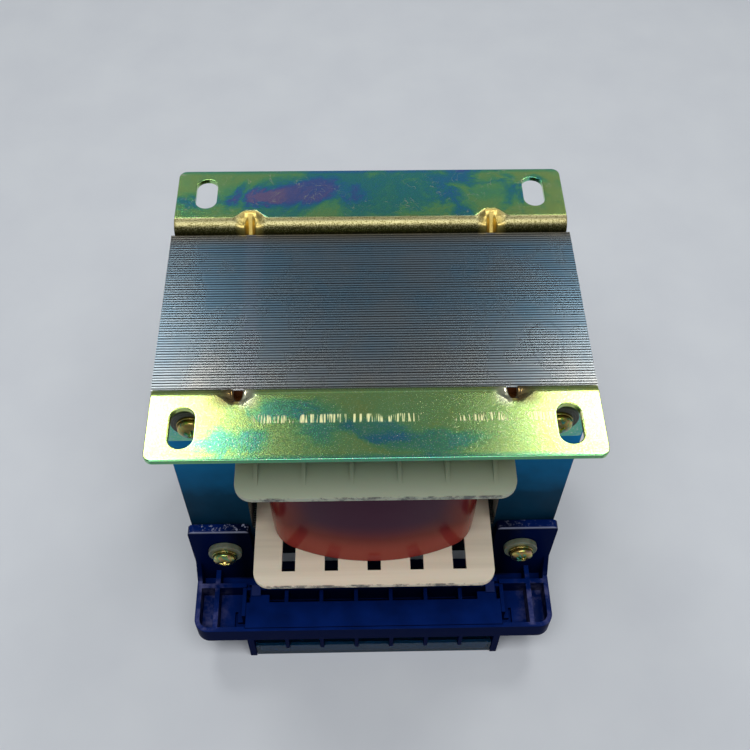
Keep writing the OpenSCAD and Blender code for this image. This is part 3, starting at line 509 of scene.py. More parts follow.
fill(tree, shader.inputs["Base Color"], colour)
rough = add_node(tree, "ShaderNodeMapRange", {"Value": stain, "From Min": 0.3, "From Max": 0.7,
                 "To Min": 0.25, "To Max": 0.29})
fill(tree, shader.inputs["Roughness"], rough)

# %% [markdown]
# The outermost sheets show their flat faces, where the varnish lies in a thick blue coat. Its blue is
# painted lighter upwards and nearly black at the foot of the core, as painted reflection and painted
# shade, and a slow noise wobbles the change. It is burnt brown along the upper edge.

# %% The varnished faces of the outermost sheets
run_size = 18 * mm
burnt_zone = (8 * mm, 6 * mm)          # below the core's upper edge

sheet_face, tree, shader, place = start_finish("varnished_steel_face", Roughness=0.35,
                                               Specular_IOR_Level=0.02)
parts = add_node(tree, "ShaderNodeSeparateXYZ", {"Vector": place}).outputs
height = add_node(tree, "ShaderNodeMapRange", {"Value": parts["Z"], "From Min": core_low.z,
                  "From Max": core_high.z})
run = add_node(tree, "ShaderNodeTexNoise", {"Vector": place, "Scale": 1 / run_size, "Detail": 3.0})
run_share = add_node(tree, "ShaderNodeMapRange", {"Value": run, "To Min": -0.12, "To Max": 0.12})
coat_and_light_at = add_node(tree, "ShaderNodeMath", {0: height, 1: run_share}, operation="ADD")
# painted reflection and shade: the blue grows lighter with height
coat_and_painted_light = add_node(tree, "ShaderNodeValToRGB", {"Fac": coat_and_light_at})
set_stops(coat_and_painted_light, [(0.12, "#050B14"), (0.42, "#083A54"), (0.8, "#0F86C4")])
burnt = add_node(tree, "ShaderNodeMapRange", {"Value": parts["Z"], "From Min": core_high.z - burnt_zone[0],
                 "From Max": core_high.z - burnt_zone[1]})
browned = add_node(tree, "ShaderNodeMix", {0: burnt, 6: coat_and_painted_light, 7: linear("#4A2A1A")}, data_type="RGBA")
fill(tree, shader.inputs["Base Color"], browned)
print("steel finishes:", sheet_steel.name, sheet_face.name)

# %% [markdown]
# ## Plastics, film and fibre
#
# The bobbin is moulded nylon. It is cream and slightly translucent, and its plastic has flowed along X.
# The upper flange is painted a grey green, as painted shade under the bracket tinted by the green light
# it throws back. The rims of its flanges are scuffed dark from handling.

# %% Moulded nylon of the bobbin
flow_length = 125 * mm                 # the marks of its flow, along X
flow_width = 3.846 * mm
nylon_scuff_size = 5 * mm
green_shade_zone = (90 * mm, 125 * mm)        # in height, between the two flanges
rim_zone = (0.5 * mm, 0.1 * mm)        # from a flange's front edge

nylon, tree, shader, place = start_finish("moulded_nylon", Roughness=0.48, Subsurface_Weight=0.15,
                                          Subsurface_Scale=2 * mm)
parts, _, depth = measure(tree, place)
flow_place = add_node(tree, "ShaderNodeMapping", {"Vector": place,
                      "Scale": (1 / flow_length, 1 / flow_width, 1 / flow_width)})
flow = add_node(tree, "ShaderNodeTexNoise", {"Vector": flow_place, "Scale": 1.0, "Detail": 3.0})
cream = add_node(tree, "ShaderNodeValToRGB", {"Fac": flow})
set_stops(cream, [(0.3, "#DDD0B6"), (0.55, "#E8DBC1"), (0.8, "#F0E4CC")])
# painted shade: the upper flange gets a darker grey green
green_shade_share = add_node(tree, "ShaderNodeMapRange", {"Value": parts["Z"], "From Min": green_shade_zone[0],
                 "From Max": green_shade_zone[1]})
shaded_cream = add_node(tree, "ShaderNodeMix", {0: green_shade_share, 6: cream, 7: linear("#A9AE98")}, data_type="RGBA")
flange_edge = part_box("bobbin_flange_top")[1].y
on_rim = add_node(tree, "ShaderNodeMapRange", {"Value": depth, "From Min": flange_edge - rim_zone[0],
                  "From Max": flange_edge - rim_zone[1]})
scuff = patches(tree, place, nylon_scuff_size, (0.46, 0.58), 0.85, Detail=5.0, Roughness=0.75)
dirty = add_node(tree, "ShaderNodeMath", {0: on_rim, 1: scuff}, operation="MULTIPLY")
dirtied = add_node(tree, "ShaderNodeMix", {0: dirty, 6: shaded_cream, 7: linear("#3A3C42")}, data_type="RGBA")
fill(tree, shader.inputs["Base Color"], dirtied)
bump = add_node(tree, "ShaderNodeBump", {"Height": flow, "Strength": 0.15, "Distance": 0.05 * mm})
fill(tree, shader.inputs["Normal"], bump)

# %% [markdown]
# The coil is wrapped in red polyester film, which is smooth. Over the dark copper in the middle it
# looks deep purple. It is painted a lighter red at the rounded sides, as a painted reflection, and near
# the lower flange, as painted light thrown back by the cream flange.

# %% Polyester film over the coil
coil_low, coil_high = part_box("winding")
turn_length = 166.7 * mm               # the film's turns wrinkle along this and this far apart
turn_pitch = 11.11 * mm
side_sheen_zone = (22 * mm, 40 * mm)        # from the coil's middle towards its rounded sides
flange_light_zone = (34 * mm, 6 * mm)          # above the coil's lower end

film, tree, shader, place = start_finish("polyester_film_wrap", Roughness=0.18, Specular_IOR_Level=0.06)
parts, aside, _ = measure(tree, place)
# painted light: a lighter red at the rounded sides and near the lower flange
painted_side_sheen = add_node(tree, "ShaderNodeMapRange", {"Value": aside, "From Min": side_sheen_zone[0],
                   "From Max": side_sheen_zone[1], "To Max": 0.6}, interpolation_type="SMOOTHSTEP")
painted_flange_light = add_node(tree, "ShaderNodeMapRange", {"Value": parts["Z"],
                       "From Min": coil_low.z + flange_light_zone[0], "From Max": coil_low.z + flange_light_zone[1]},
                       interpolation_type="SMOOTHSTEP")
painted_light_share = add_node(tree, "ShaderNodeMath", {0: painted_side_sheen, 1: painted_flange_light}, operation="MAXIMUM")
film_colour = add_node(tree, "ShaderNodeValToRGB", {"Fac": painted_light_share})
set_stops(film_colour, [(0.0, "#40152E"), (0.5, "#6E1F1B"), (1.0, "#9A3A2C")])
fill(tree, shader.inputs["Base Color"], film_colour)
turns_place = add_node(tree, "ShaderNodeMapping", {"Vector": place,
                       "Scale": (1 / turn_length, 1 / turn_length, 1 / turn_pitch)})
turns = add_node(tree, "ShaderNodeTexNoise", {"Vector": turns_place, "Scale": 1.0, "Detail": 2.0})
bump = add_node(tree, "ShaderNodeBump", {"Height": turns, "Strength": 0.12, "Distance": 0.3 * mm})
fill(tree, shader.inputs["Normal"], bump)

# %% [markdown]
# The carriers and blocks are a dark blue moulded plastic with a soft gloss. Their upright sides are
# almost without shine and are painted a darker blue, as painted shade, and their upper sides catch the
# light. Deep under the bobbin, and on the ears towards the middle, they are painted nearly black as
# painted shade. Inside the trays' ends lies a pale painted sheen, and the ears' tops are chalked from
# handling and carry painted sheen, more on the left than on the right.

# %% Blue moulded plastic: the blue itself, and where painted shade makes it darker
carrier_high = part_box("terminal_carrier_rear")[1]
ear_t = 3.8 * mm
ear_front = core_high.y + ear_t        # the ears stand against the core's face
mottle_size = 14 * mm
under_aside = (49 * mm, 46 * mm)       # the dark zone under the bobbin ends and is full here
under_depth = (50 * mm, 47 * mm)
ear_shade_zone = (64 * mm, 56 * mm)    # and an ear's outer end and its inner one

navy, tree, shader, place = start_finish("moulded_blue_plastic")
parts, aside, depth = measure(tree, place)
mottle = add_node(tree, "ShaderNodeTexNoise", {"Vector": place, "Scale": 1 / mottle_size, "Detail": 3.0})
blue = add_node(tree, "ShaderNodeValToRGB", {"Fac": mottle})
set_stops(blue, [(0.3, "#011648"), (0.7, "#032060")])
normal = add_node(tree, "ShaderNodeNewGeometry").outputs["Normal"]
facing = add_node(tree, "ShaderNodeSeparateXYZ", {"Vector": normal}).outputs
lit_from_above = add_node(tree, "ShaderNodeMapRange", {"Value": facing["Z"], "From Min": 0.3, "From Max": 0.9})
shine = add_node(tree, "ShaderNodeMapRange", {"Value": lit_from_above, "To Min": 0.004, "To Max": 0.05})
fill(tree, shader.inputs["Specular IOR Level"], shine)
gloss = add_node(tree, "ShaderNodeMapRange", {"Value": mottle, "To Min": 0.24, "To Max": 0.4})
fill(tree, shader.inputs["Roughness"], gloss)
# painted shade: upright faces get a darker blue than upward ones
colour = add_node(tree, "ShaderNodeMix", {0: lit_from_above, 6: linear("#010F38"), 7: blue}, data_type="RGBA")

# painted shade: nearly black under the bobbin and on the ears' inner ends
near_middle = add_node(tree, "ShaderNodeMapRange", {"Value": aside, "From Min": under_aside[0],
                       "From Max": under_aside[1]})
shade_under_bobbin = add_node(tree, "ShaderNodeMapRange", {"Value": depth, "From Min": under_depth[0],
                 "From Max": under_depth[1], "To Max": 0.85})
painted_shade = add_node(tree, "ShaderNodeMath", {0: near_middle, 1: shade_under_bobbin}, operation="MULTIPLY")
ear_shade = add_node(tree, "ShaderNodeMapRange", {"Value": aside, "From Min": ear_shade_zone[0],
                     "From Max": ear_shade_zone[1], "To Max": 0.8})
on_ear = add_node(tree, "ShaderNodeMapRange", {"Value": depth, "From Min": ear_front + 1 * mm,
                  "From Max": ear_front + 0.2 * mm})
painted_ear_shade = add_node(tree, "ShaderNodeMath", {0: ear_shade, 1: on_ear}, operation="MULTIPLY")
painted_shade = add_node(tree, "ShaderNodeMath", {0: painted_shade, 1: painted_ear_shade}, operation="MAXIMUM")
colour = add_node(tree, "ShaderNodeMix", {0: painted_shade, 6: colour, 7: linear("#03050C")}, data_type="RGBA")

# %% Painted sheen inside the trays' ends, and chalk with painted sheen on the ears' tops
sheen_size = 7 * mm
chalk_and_sheen_size = 1.8 * mm
tray_end = (61 * mm, 68 * mm)          # the bloom begins and is full, aside
tray_top = (34 * mm, 31 * mm)          # in height
off_ear = (43 * mm, 46 * mm)           # in depth
front_wall = (0.4 * mm, 1.2 * mm)      # inside the carrier's front
end_wall = (0.2 * mm, 0.8 * mm)        # and inside its ends
chalk_and_sheen_sides = (60 * mm, -74 * mm)      # least chalk at the right, most at the left
ear_top = (1.2 * mm, 0.2 * mm)         # below the ears' tops
ear_edge = (0.5 * mm, 0.2 * mm)        # behind the ears' front faces

# painted sheen: a pale lavender on the walls inside the trays' ends
painted_sheen = patches(tree, place, sheen_size, (0.45, 0.75), 0.5, Detail=4.0, Roughness=0.65)
zones = ((aside, tray_end[0], tray_end[1]), (parts["Z"], tray_top[0], tray_top[1]),
         (depth, carrier_high.y - front_wall[0], carrier_high.y - front_wall[1]),
         (aside, carrier_high.x - end_wall[0], carrier_high.x - end_wall[1]),
         (depth, off_ear[0], off_ear[1]))
shares = [add_node(tree, "ShaderNodeMapRange", {"Value": value, "From Min": begins, "From Max": full})
          for value, begins, full in zones]
sheen_at = shares[0]
for share in shares[1:] + [painted_sheen]:
    sheen_at = add_node(tree, "ShaderNodeMath", {0: sheen_at, 1: share}, operation="MULTIPLY")
colour = add_node(tree, "ShaderNodeMix", {0: sheen_at, 6: colour, 7: linear("#77759A")}, data_type="RGBA")

# chalk from handling together with painted sheen on the ears' tops and front edges
chalk_and_sheen = patches(tree, place, chalk_and_sheen_size, (0.56, 0.64), 1.0, Detail=4.0, Roughness=0.8)
more_left = add_node(tree, "ShaderNodeMapRange", {"Value": parts["X"], "From Min": chalk_and_sheen_sides[0],
                     "From Max": chalk_and_sheen_sides[1], "To Min": 0.15})
chalk_and_sheen = add_node(tree, "ShaderNodeMath", {0: more_left, 1: chalk_and_sheen}, operation="MULTIPLY")
edge_line = add_node(tree, "ShaderNodeMapRange", {"Value": depth, "From Min": ear_front - ear_edge[0],
                     "From Max": ear_front - ear_edge[1], "To Max": 0.5})
chalk_and_sheen = add_node(tree, "ShaderNodeMath", {0: chalk_and_sheen, 1: edge_line}, operation="MAXIMUM")
on_top = add_node(tree, "ShaderNodeMapRange", {"Value": parts["Z"], "From Min": carrier_high.z - ear_top[0],
                  "From Max": carrier_high.z - ear_top[1]})
chalk_and_sheen = add_node(tree, "ShaderNodeMath", {0: on_top, 1: chalk_and_sheen}, operation="MULTIPLY")
colour = add_node(tree, "ShaderNodeMix", {0: chalk_and_sheen, 6: colour, 7: linear("#B4B8D0")}, data_type="RGBA")
fill(tree, shader.inputs["Base Color"], colour)

# %% [markdown]
# The covers are clear plastic. Their blue base colour is painted in, for the dark blue seen through them.
# Such a plastic has an IOR of about 1.49, but with it the covers mirror the pale floor and look milky,
# so their IOR is lower here. The washers under the bolt heads are translucent nylon, and the ones on the
# brackets are thick ribbed discs of dark olive fibre. The screws, saddle plates and bars are zinc plated
# without a film, and a little rubbed.

# %% Clear plastic, nylon and fibre washers, bright zinc
haze_size = 6 * mm
milk_size = 3 * mm
felt_size = 0.6 * mm
rub_size = 1.5 * mm

# painted in: the blue base colour stands for the dark blue seen through the covers
clear, tree, shader, place = start_finish("clear_moulded_plastic", Base_Color=linear("#2C7CB0"),
                                          Transmission_Weight=0.92, IOR=1.15)
haze = add_node(tree, "ShaderNodeTexNoise", {"Vector": place, "Scale": 1 / haze_size, "Detail": 3.0})
haze_rough = add_node(tree, "ShaderNodeMapRange", {"Value": haze, "To Min": 0.04, "To Max": 0.22})
fill(tree, shader.inputs["Roughness"], haze_rough)

washer_nylon, *_ = mottled_finish("translucent_nylon", milk_size, 2.0, [(0.3, "#5C6250"), (0.7, "#747A66")],
                                  Roughness=0.4, Subsurface_Weight=0.4, Subsurface_Scale=2 * mm)
fibre, *_ = mottled_finish("ribbed_fibre", felt_size, 3.0, [(0.3, "#3E4038"), (0.7, "#5C5E52")],
                           Roughness=0.5)
bright_zinc, tree, shader, rub = mottled_finish("bright_zinc_plate", rub_size, 3.0,
                                                [(0.3, "#9DA1A8"), (0.7, "#C6C9CE")], Metallic=1.0)
rub_rough = add_node(tree, "ShaderNodeMapRange", {"Value": rub, "To Min": 0.2, "To Max": 0.45})
fill(tree, shader.inputs["Roughness"], rub_rough)
print("finishes made:", len(bpy.data.materials))

# %% [markdown]
# ## Skins from rings
#
# Bent plates, nuts, washers and screws can all be described as rings of points, one after the other,
# with the same number of points in each. Quads join each ring to the next. It gives clean strips
# that follow the form, with rounded edges wherever a few more rings are put in. Booleans would give
# the same outlines but leave ragged triangles, which shade badly on polished metal.
#
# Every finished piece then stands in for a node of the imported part, so one helper says so for all.

# %% From rings to a piece
def skin(rings, shut=False):
    """Quads between rings of points. shut joins the last ring to the first; otherwise both are capped."""
    rings = [list(ring) for ring in rings]
    count = len(rings[0])
    points = [point for ring in rings for point in ring]
    strips = len(rings) if shut else len(rings) - 1
    faces = []
    for i in range(strips):
        near, far = i * count, (i + 1) % len(rings) * count
        faces += [(near + j, near + (j + 1) % count, far + (j + 1) % count, far + j) for j in range(count)]
    if not shut:
        faces += [tuple(range(count)), tuple(range(len(points) - count, len(points)))]
    return points, faces


def make_piece(name, shapes, *finishes):
    """One object from a list of (points, faces), with its doubles merged and its normals outwards."""
    shell = bmesh.new()
    for points, faces in shapes:
        corners = [shell.verts.new(point) for point in points]
        for face in faces:
            if len(set(face)) > 2:
                shell.faces.new([corners[i] for i in face])
    bmesh.ops.remove_doubles(shell, verts=shell.verts, dist=0.002 * mm)
    bmesh.ops.dissolve_degenerate(shell, edges=shell.edges, dist=0.001 * mm)
    bmesh.ops.recalc_face_normals(shell, faces=shell.faces)
    mesh = bpy.data.meshes.new(name)
    shell.to_mesh(mesh)
    shell.free()
    mesh.polygons.foreach_set("use_smooth", [True] * len(mesh.polygons))
    for finish in finishes:
        mesh.materials.append(finish)
    piece = bpy.data.objects.new(name, mesh)
    bpy.context.scene.collection.objects.link(piece)
    return piece


def bake_modifiers(piece):
    """Turns the piece's modifiers into plain mesh."""
    graph = bpy.context.evaluated_depsgraph_get()
    mesh = bpy.data.meshes.new_from_object(piece.evaluated_get(graph), depsgraph=graph)
    mesh.name = piece.name
    piece.modifiers.clear()
    piece.data = mesh
    return piece


def weigh_normals(piece):
    """Lets large faces keep their own direction, so that only the narrow rounded edges shade as round."""
    piece.modifiers.new("weigh", "WEIGHTED_NORMAL").keep_sharp = True
    return bake_modifiers(piece)


def stand_in(piece, node):
    """Lets the piece stand for a CAD node: hides the node and puts the piece on the one body there is."""
    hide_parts(node)
    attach(piece, "root")
    print(piece.name, "stands for", node, "with", len(piece.data.polygons), "faces")

# %% [markdown]
# ## Foot brackets: cut flat, then bent
#
# Each bracket starts as a flat blank of 2 mm steel: a long rectangle with two slots, two holes and,
# at the foot of the leg, a lug at each end. A press bends it once along its length and strikes two
# dimples across the bend, which stiffen it. The script works the same way. It draws the blank in flat
# coordinates, u along the bracket and v across it, and one function says where a point of the blank
# ends up after the press. The edge gets its small rounding in the flat, where that is easy, and it
# follows the bend by itself.

# %% The blank's sizes, and the press
sheet_t = 2 * mm
bend_r = 5 * mm
dimple_reach = 2.5 * mm        # how far a dimple runs past both ends of the bend
dimple_flat = 0.7 * mm         # half width of its flat bottom
dimple_wall = 2.1 * mm         # half width at the top of its walls
shoulder_half = 7.0 * mm       # half width of the shoulders, where the foot sinks towards a dimple
shoulder_reach = 3.6 * mm      # how far a shoulder reaches onto the foot
shoulder_drop = 1.3 * mm       # how deep it sinks
edge_r = 0.3 * mm

bend_y = foot_low.y + bend_r
bend_z = foot_high.z - bend_r
leg_length = bend_z - foot_low.z
bend_length = bend_r * math.pi / 2
blank_length = leg_length + bend_length + foot_high.y - bend_y


def smooth(low, high, value):
    share = np.clip((value - low) / (high - low), 0, 1)
    return share * share * (3 - 2 * share)


def press(u, v, depth):
    """Where the blank's point (u, v) lies after the bend and the dimples, at a depth in the sheet."""
    turn = np.clip((v - leg_length) / bend_r, 0, math.pi / 2)
    y = bend_y - (bend_r - depth) * np.cos(turn) + np.maximum(v - leg_length - bend_length, 0)
    z = bend_z + (bend_r - depth) * np.sin(turn) + np.minimum(v - leg_length, 0)

    # a dimple pulls the bend onto a straight chord from the leg to the foot
    reach = dimple_reach + depth * math.tan(math.pi / 8)
    share = (v - leg_length + reach) / (bend_length + 2 * reach)
    chord_y = foot_low.y + depth + share * (bend_r + reach - depth)
    chord_z = bend_z - reach + share * (bend_r + reach - depth)
    aside = np.abs(np.abs(u) - dimple_x)
    pull = np.where((share > 0) & (share < 1), 1 - smooth(dimple_flat, dimple_wall, aside), 0)

    # and the foot sinks towards it in a shoulder on both sides, which narrows away from the bend
    near = np.clip((shoulder_half - aside) / (shoulder_half - dimple_wall), 0, 1) ** 1.4
    on_foot = np.maximum(v - leg_length - bend_length, 0) / shoulder_reach
    on_bend = 1 - smooth(0.1, 0.6, (leg_length + bend_length - v) / bend_length)
    sink = shoulder_drop * smooth(0, 1, near - on_foot) * on_bend
    z = z - sink
    return np.stack([u, y + pull * (chord_y - y), z + pull * (chord_z - z)], axis=-1)

# %% The loops of the blank: its outline, slots and holes
def rounded_loop(corners, radii, grow=0.0, step=0.6 * mm):
    """Points round an outline of right angles, anticlockwise. grow moves all its sides outward."""
    corners = np.array(corners)
    arcs = []
    for corner, before, after, radius in zip(corners, np.roll(corners, 1, 0), np.roll(corners, -1, 0), radii):
        into, out = corner - before, after - corner
        side_in = np.array([into[1], -into[0]]) / np.hypot(*into)      # the outward sides of both edges
        side_out = np.array([out[1], -out[0]]) / np.hypot(*out)
        turn = math.copysign(1, into[0] * out[1] - into[1] * out[0])    # -1 at an inward corner
        radius = turn * max(radius + turn * grow, 0.02 * mm)
        middle = corner + (grow - radius) * (side_in + side_out)
        angles = np.linspace(0, math.pi / 2, 12)[:, None]
        arcs.append(middle + radius * (side_in * np.cos(angles) + side_out * np.sin(angles)))
    loop = []
    for arc, following in zip(arcs, arcs[1:] + arcs[:1]):
        side = following[0] - arc[-1]
        length = float(np.hypot(*side))
        steps = max(1, round(length / step)) if length > 0.1 * mm else 1
        loop += list(arc) + [arc[-1] + side * i / steps for i in range(1, steps)]
    return np.array(loop)


def box_corners(low, high):
    return [low, (high[0], low[1]), high, (low[0], high[1])]


slot_half_w = 4 * mm
slot_half_l = 7.65 * mm
hole_r = 2.75 * mm
lug_drop = 4.2 * mm            # the leg's two lugs reach this far down beside the bobbin's flange
lug_gap = 2 * mm
bolt_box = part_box("bolt_top_right")
bolt_x = (bolt_box[0].x + bolt_box[1].x) / 2
slot_v = leg_length + bend_length + (foot_high.y - bend_y) / 2
hole_v = (bolt_box[0].z + bolt_box[1].z) / 2 - foot_low.z
lug_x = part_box("bobbin_flange_top")[1].x + lug_gap

blank_low = (foot_low.x, 0.0)
blank_high = (foot_high.x, blank_length)
blank_corners = [blank_low, (-lug_x, 0), (-lug_x, lug_drop), (lug_x, lug_drop), (lug_x, 0),
                 (foot_high.x, 0), blank_high, (foot_low.x, blank_length)]
lug_corner_r = 1 * mm
foot_corner_r = 3 * mm
blank_radii = [lug_corner_r] * 6 + [foot_corner_r] * 2
openings = ((slot_v, slot_half_w, slot_half_l), (hole_v, hole_r, hole_r))
cuts = [((x - w, v - l), (x + w, v + l), min(w, l)) for x in (-bolt_x, bolt_x) for v, w, l in openings]


def blank_loops(grow):
    """The outline and the four cuts. A positive grow adds steel all round."""
    outline = rounded_loop(blank_corners, blank_radii, grow)
    return [outline] + [rounded_loop(box_corners(low, high), [0.995 * r] * 4, -grow) for low, high, r in cuts]


def steel_margin(points, grow):
    """How far points lie inside the steel of the blank; negative is outside it or in a cut."""
    def outside(low, high, radius):
        middle, half = (np.array(low) + high) / 2, (np.array(high) - low) / 2
        away = np.abs(points - middle) - half + radius
        return np.hypot(*np.maximum(away, 0).T) + np.minimum(away.max(axis=1), 0) - radius
    notch = ((-lug_x, -lug_drop), (lug_x, lug_drop), lug_corner_r)
    margins = [grow - outside(blank_low, blank_high, lug_corner_r)]
    margins += [outside(low, high, r) + grow for low, high, r in cuts + [notch]]
    return np.min(margins, axis=0)

# %% Triangles over the blank, fine where it is bent
def grid_places(low, high, coarse, fine_zones, fine):
    """Places from low to high, coarse apart, and fine apart inside the fine zones."""
    places = list(np.arange(low, high, coarse))
    for start, end in fine_zones:
        places = [p for p in places if not start - fine < p < end + fine]
        places += list(np.arange(start, end + fine / 2, fine))
    return sorted(places)


coarse_step = 2 * mm
fine_columns = [(x - shoulder_half, x + shoulder_half) for x in (-dimple_x, dimple_x)]
bend_margin = 4 * mm      # the fine rows go on this far past both ends of the bend
fine_rows = [(leg_length - bend_margin, leg_length + bend_length + bend_margin)]
grid_u = grid_places(foot_low.x, foot_high.x, coarse_step, fine_columns, 0.35 * mm)
grid_v = grid_places(0, blank_length, coarse_step, fine_rows, 0.4 * mm)
grid = np.array([(u, v) for u in grid_u for v in grid_v])
hem = 0.3 * mm            # a narrow strip beside each edge keeps the rest of the flat shading flat
loops = blank_loops(-edge_r) + blank_loops(-edge_r - hem)
grid = grid[steel_margin(grid, -edge_r - hem) > 0.3 * mm]
flat_points = np.concatenate(loops + [grid])
flat_edges = []
first = 0
for loop in loops:
    flat_edges += [(first + i, first + (i + 1) % len(loop)) for i in range(len(loop))]
    first += len(loop)
flat_points, _, flat_faces, *_ = delaunay_2d_cdt([Vector(p) for p in flat_points], flat_edges, [], 0, 1e-7)
flat_points = np.array(flat_points)
middles = np.array([flat_points[list(face)].mean(axis=0) for face in flat_faces])
kept = steel_margin(middles, -edge_r) > -0.02 * mm
flat_faces = [tuple(face) for face, keep in zip(flat_faces, kept) if keep]
print("blank:", len(flat_points), "points,", len(flat_faces), "triangles")

# %% Press both brackets
edge_turns = np.radians([0, 22.5, 45, 67.5, 90])
edge_rings = [(edge_r * (1 - math.sin(a)), edge_r * (1 - math.cos(a))) for a in edge_turns]
edge_rings += [(inset, sheet_t - depth) for inset, depth in reversed(edge_rings)]


def press_bracket(name, finish, turned):
    side = np.array([-1, -1, 1]) if turned else np.array([1, 1, 1])
    shapes = []
    for depth in (0.0, sheet_t):
        shapes.append(((press(*flat_points.T, depth) * side).tolist(), flat_faces))
    levels = [blank_loops(-inset) for inset, _ in edge_rings]
    for number in range(len(levels[0])):
        rings = [(press(*level[number].T, depth) * side).tolist()
                 for level, (_, depth) in zip(levels, edge_rings)]
        points, faces = skin(rings)
        shapes.append((points, faces[:-2]))
    return weigh_normals(make_piece(name, shapes, finish))


bracket_rear = press_bracket("pressed_bracket_rear", chromate_rear, turned=False)
stand_in(bracket_rear, "foot_bracket_rear")
bracket_front = press_bracket("pressed_bracket_front", chromate_front, turned=True)
stand_in(bracket_front, "foot_bracket_front")

# %% [markdown]
# ## The core: one pair of sheets, placed 64 times
#
# The stack is made of E and I shaped sheets, laid in pairs. The I closes the upper end of one pair
# and the lower end of the next, so the joints never line up. One pair is modelled once, with its
# sheared edges a little broken, and Geometry Nodes set a copy at every step of the stack, turned upside
# down every second time. Each copy is shifted a few hundredths of a millimetre, as in any hand-stacked
# core, and carries the random `sheet_tone` that the steel's shader reads. The middle of the stack is
# what the pairs turn about, so the line of points that they stand on is centred there.

# %% One pair of sheets: an E and its I
yoke = 25 * mm
butt_gap = 0.12 * mm
window_top = core_high.z - yoke
window_foot = core_low.z + yoke
shear_r = 0.1 * mm        # wider than on a real sheet, so that the groove between two pairs shows
play = 0.05 * mm          # the pairs stay this far inside the stack's size, to leave room for the shifts

half_core = core_high.x - play
e_low, e_high = core_low.z + play, window_top - butt_gap / 2
half_leg = yoke
window_out = core_high.x - yoke
e_sheet = [(-half_core, e_low), (half_core, e_low), (half_core, e_high), (window_out, e_high),
           (window_out, window_foot), (half_leg, window_foot), (half_leg, e_high), (-half_leg, e_high),
           (-half_leg, window_foot), (-window_out, window_foot), (-window_out, e_high),
           (-half_core, e_high)]
i_low, i_high = window_top + butt_gap / 2, core_high.z - play
i_sheet = [(-half_core, i_low), (half_core, i_low), (half_core, i_high), (-half_core, i_high)]
core_middle_z = (core_low.z + core_high.z) / 2

pair = bmesh.new()
for outline in (e_sheet, i_sheet):
    sheet = pair.faces.new([pair.verts.new((x, -pair_pitch / 2, z - core_middle_z)) for x, z in outline])
    grown = bmesh.ops.extrude_face_region(pair, geom=[sheet])
    bmesh.ops.translate(pair, vec=(0, pair_pitch, 0),
                        verts=[part for part in grown["geom"] if isinstance(part, bmesh.types.BMVert)])
bmesh.ops.recalc_face_normals(pair, faces=pair.faces)
rims = [e for e in pair.edges if abs(e.verts[0].co.y - e.verts[1].co.y) < pair_pitch / 2]
bmesh.ops.bevel(pair, geom=rims, offset=shear_r, segments=1, affect="EDGES", profile=0.5)
pair_mesh = bpy.data.meshes.new("sheet_pair")
pair.to_mesh(pair_mesh)
pair.free()
pair_mesh.set_sharp_from_angle(angle=math.radians(50))
flats = [max(abs(part) for part in face.normal) > 0.99 for face in pair_mesh.polygons]
pair_mesh.polygons.foreach_set("use_smooth", [not flat for flat in flats])
sheet_pair = bpy.data.objects.new("sheet_pair", pair_mesh)
print("one pair of sheets:", len(pair_mesh.polygons), "faces")

# %% A tree with its sockets, and how to run it
def start_tree(name, sockets):
    """A geometry node group with the named inputs, a dictionary of name: socket type."""
    tree = bpy.data.node_groups.new(name, "GeometryNodeTree")
    tree.interface.new_socket("Geometry", in_out="OUTPUT", socket_type="NodeSocketGeometry")
    for socket, kind in sockets.items():
        tree.interface.new_socket(socket, in_out="INPUT", socket_type=kind)
    return tree, add_node(tree, "NodeGroupInput").outputs, add_node(tree, "NodeGroupOutput")


def grow(name, tree, **values):
    """Runs the tree on an empty object with these inputs, and keeps the result as a plain mesh."""
    piece = bpy.data.objects.new(name, bpy.data.meshes.new(name))
    bpy.context.scene.collection.objects.link(piece)
    modifier = piece.modifiers.new(name, "NODES")
    modifier.node_group = tree
    sockets = {item.name: item.identifier for item in tree.interface.items_tree if item.in_out == "INPUT"}
    for socket, value in values.items():
        modifier[sockets[socket.replace("_", " ")]] = value
    return bake_modifiers(piece)


def centred_line(tree, given, axis, **start_inputs):
    """A line of Count points, Pitch apart along an axis, with its middle at the origin of that axis."""
    step = add_node(tree, "ShaderNodeCombineXYZ", {axis: given["Pitch"]})
    gaps = add_node(tree, "ShaderNodeMath", {0: given["Count"], 1: 1}, operation="SUBTRACT")
    reach = add_node(tree, "ShaderNodeMath", {0: gaps, 1: given["Pitch"]}, operation="MULTIPLY")
    first = add_node(tree, "ShaderNodeMath", {0: reach, 1: -0.5}, operation="MULTIPLY")
    start = add_node(tree, "ShaderNodeCombineXYZ", {axis: first, **start_inputs})
    return add_node(tree, "GeometryNodeMeshLine", {"Count": given["Count"], "Start Location": start,
                    "Offset": step})

# %% The stack
stack_tree, given, result = start_tree("stack_of_sheets", {
    "Pair": "NodeSocketObject", "Count": "NodeSocketInt", "Pitch": "NodeSocketFloat",
    "Middle Height": "NodeSocketFloat", "Shift": "NodeSocketFloat", "Seed": "NodeSocketInt",
    "Edges": "NodeSocketMaterial", "Faces": "NodeSocketMaterial"})
line = centred_line(stack_tree, given, "Y", Z=given["Middle Height"])

# every second pair is turned upside down
number = add_node(stack_tree, "GeometryNodeInputIndex")
odd = add_node(stack_tree, "ShaderNodeMath", {0: number, 1: 2}, operation="MODULO")
half_turn = add_node(stack_tree, "ShaderNodeMath", {0: odd, 1: math.pi}, operation="MULTIPLY")
turn = add_node(stack_tree, "ShaderNodeCombineXYZ", {"Y": half_turn})
pair_shape = add_node(stack_tree, "GeometryNodeObjectInfo", {"Object": given["Pair"]}).outputs["Geometry"]
placed = add_node(stack_tree, "GeometryNodeInstanceOnPoints", {"Points": line, "Instance": pair_shape,
                  "Rotation": turn})

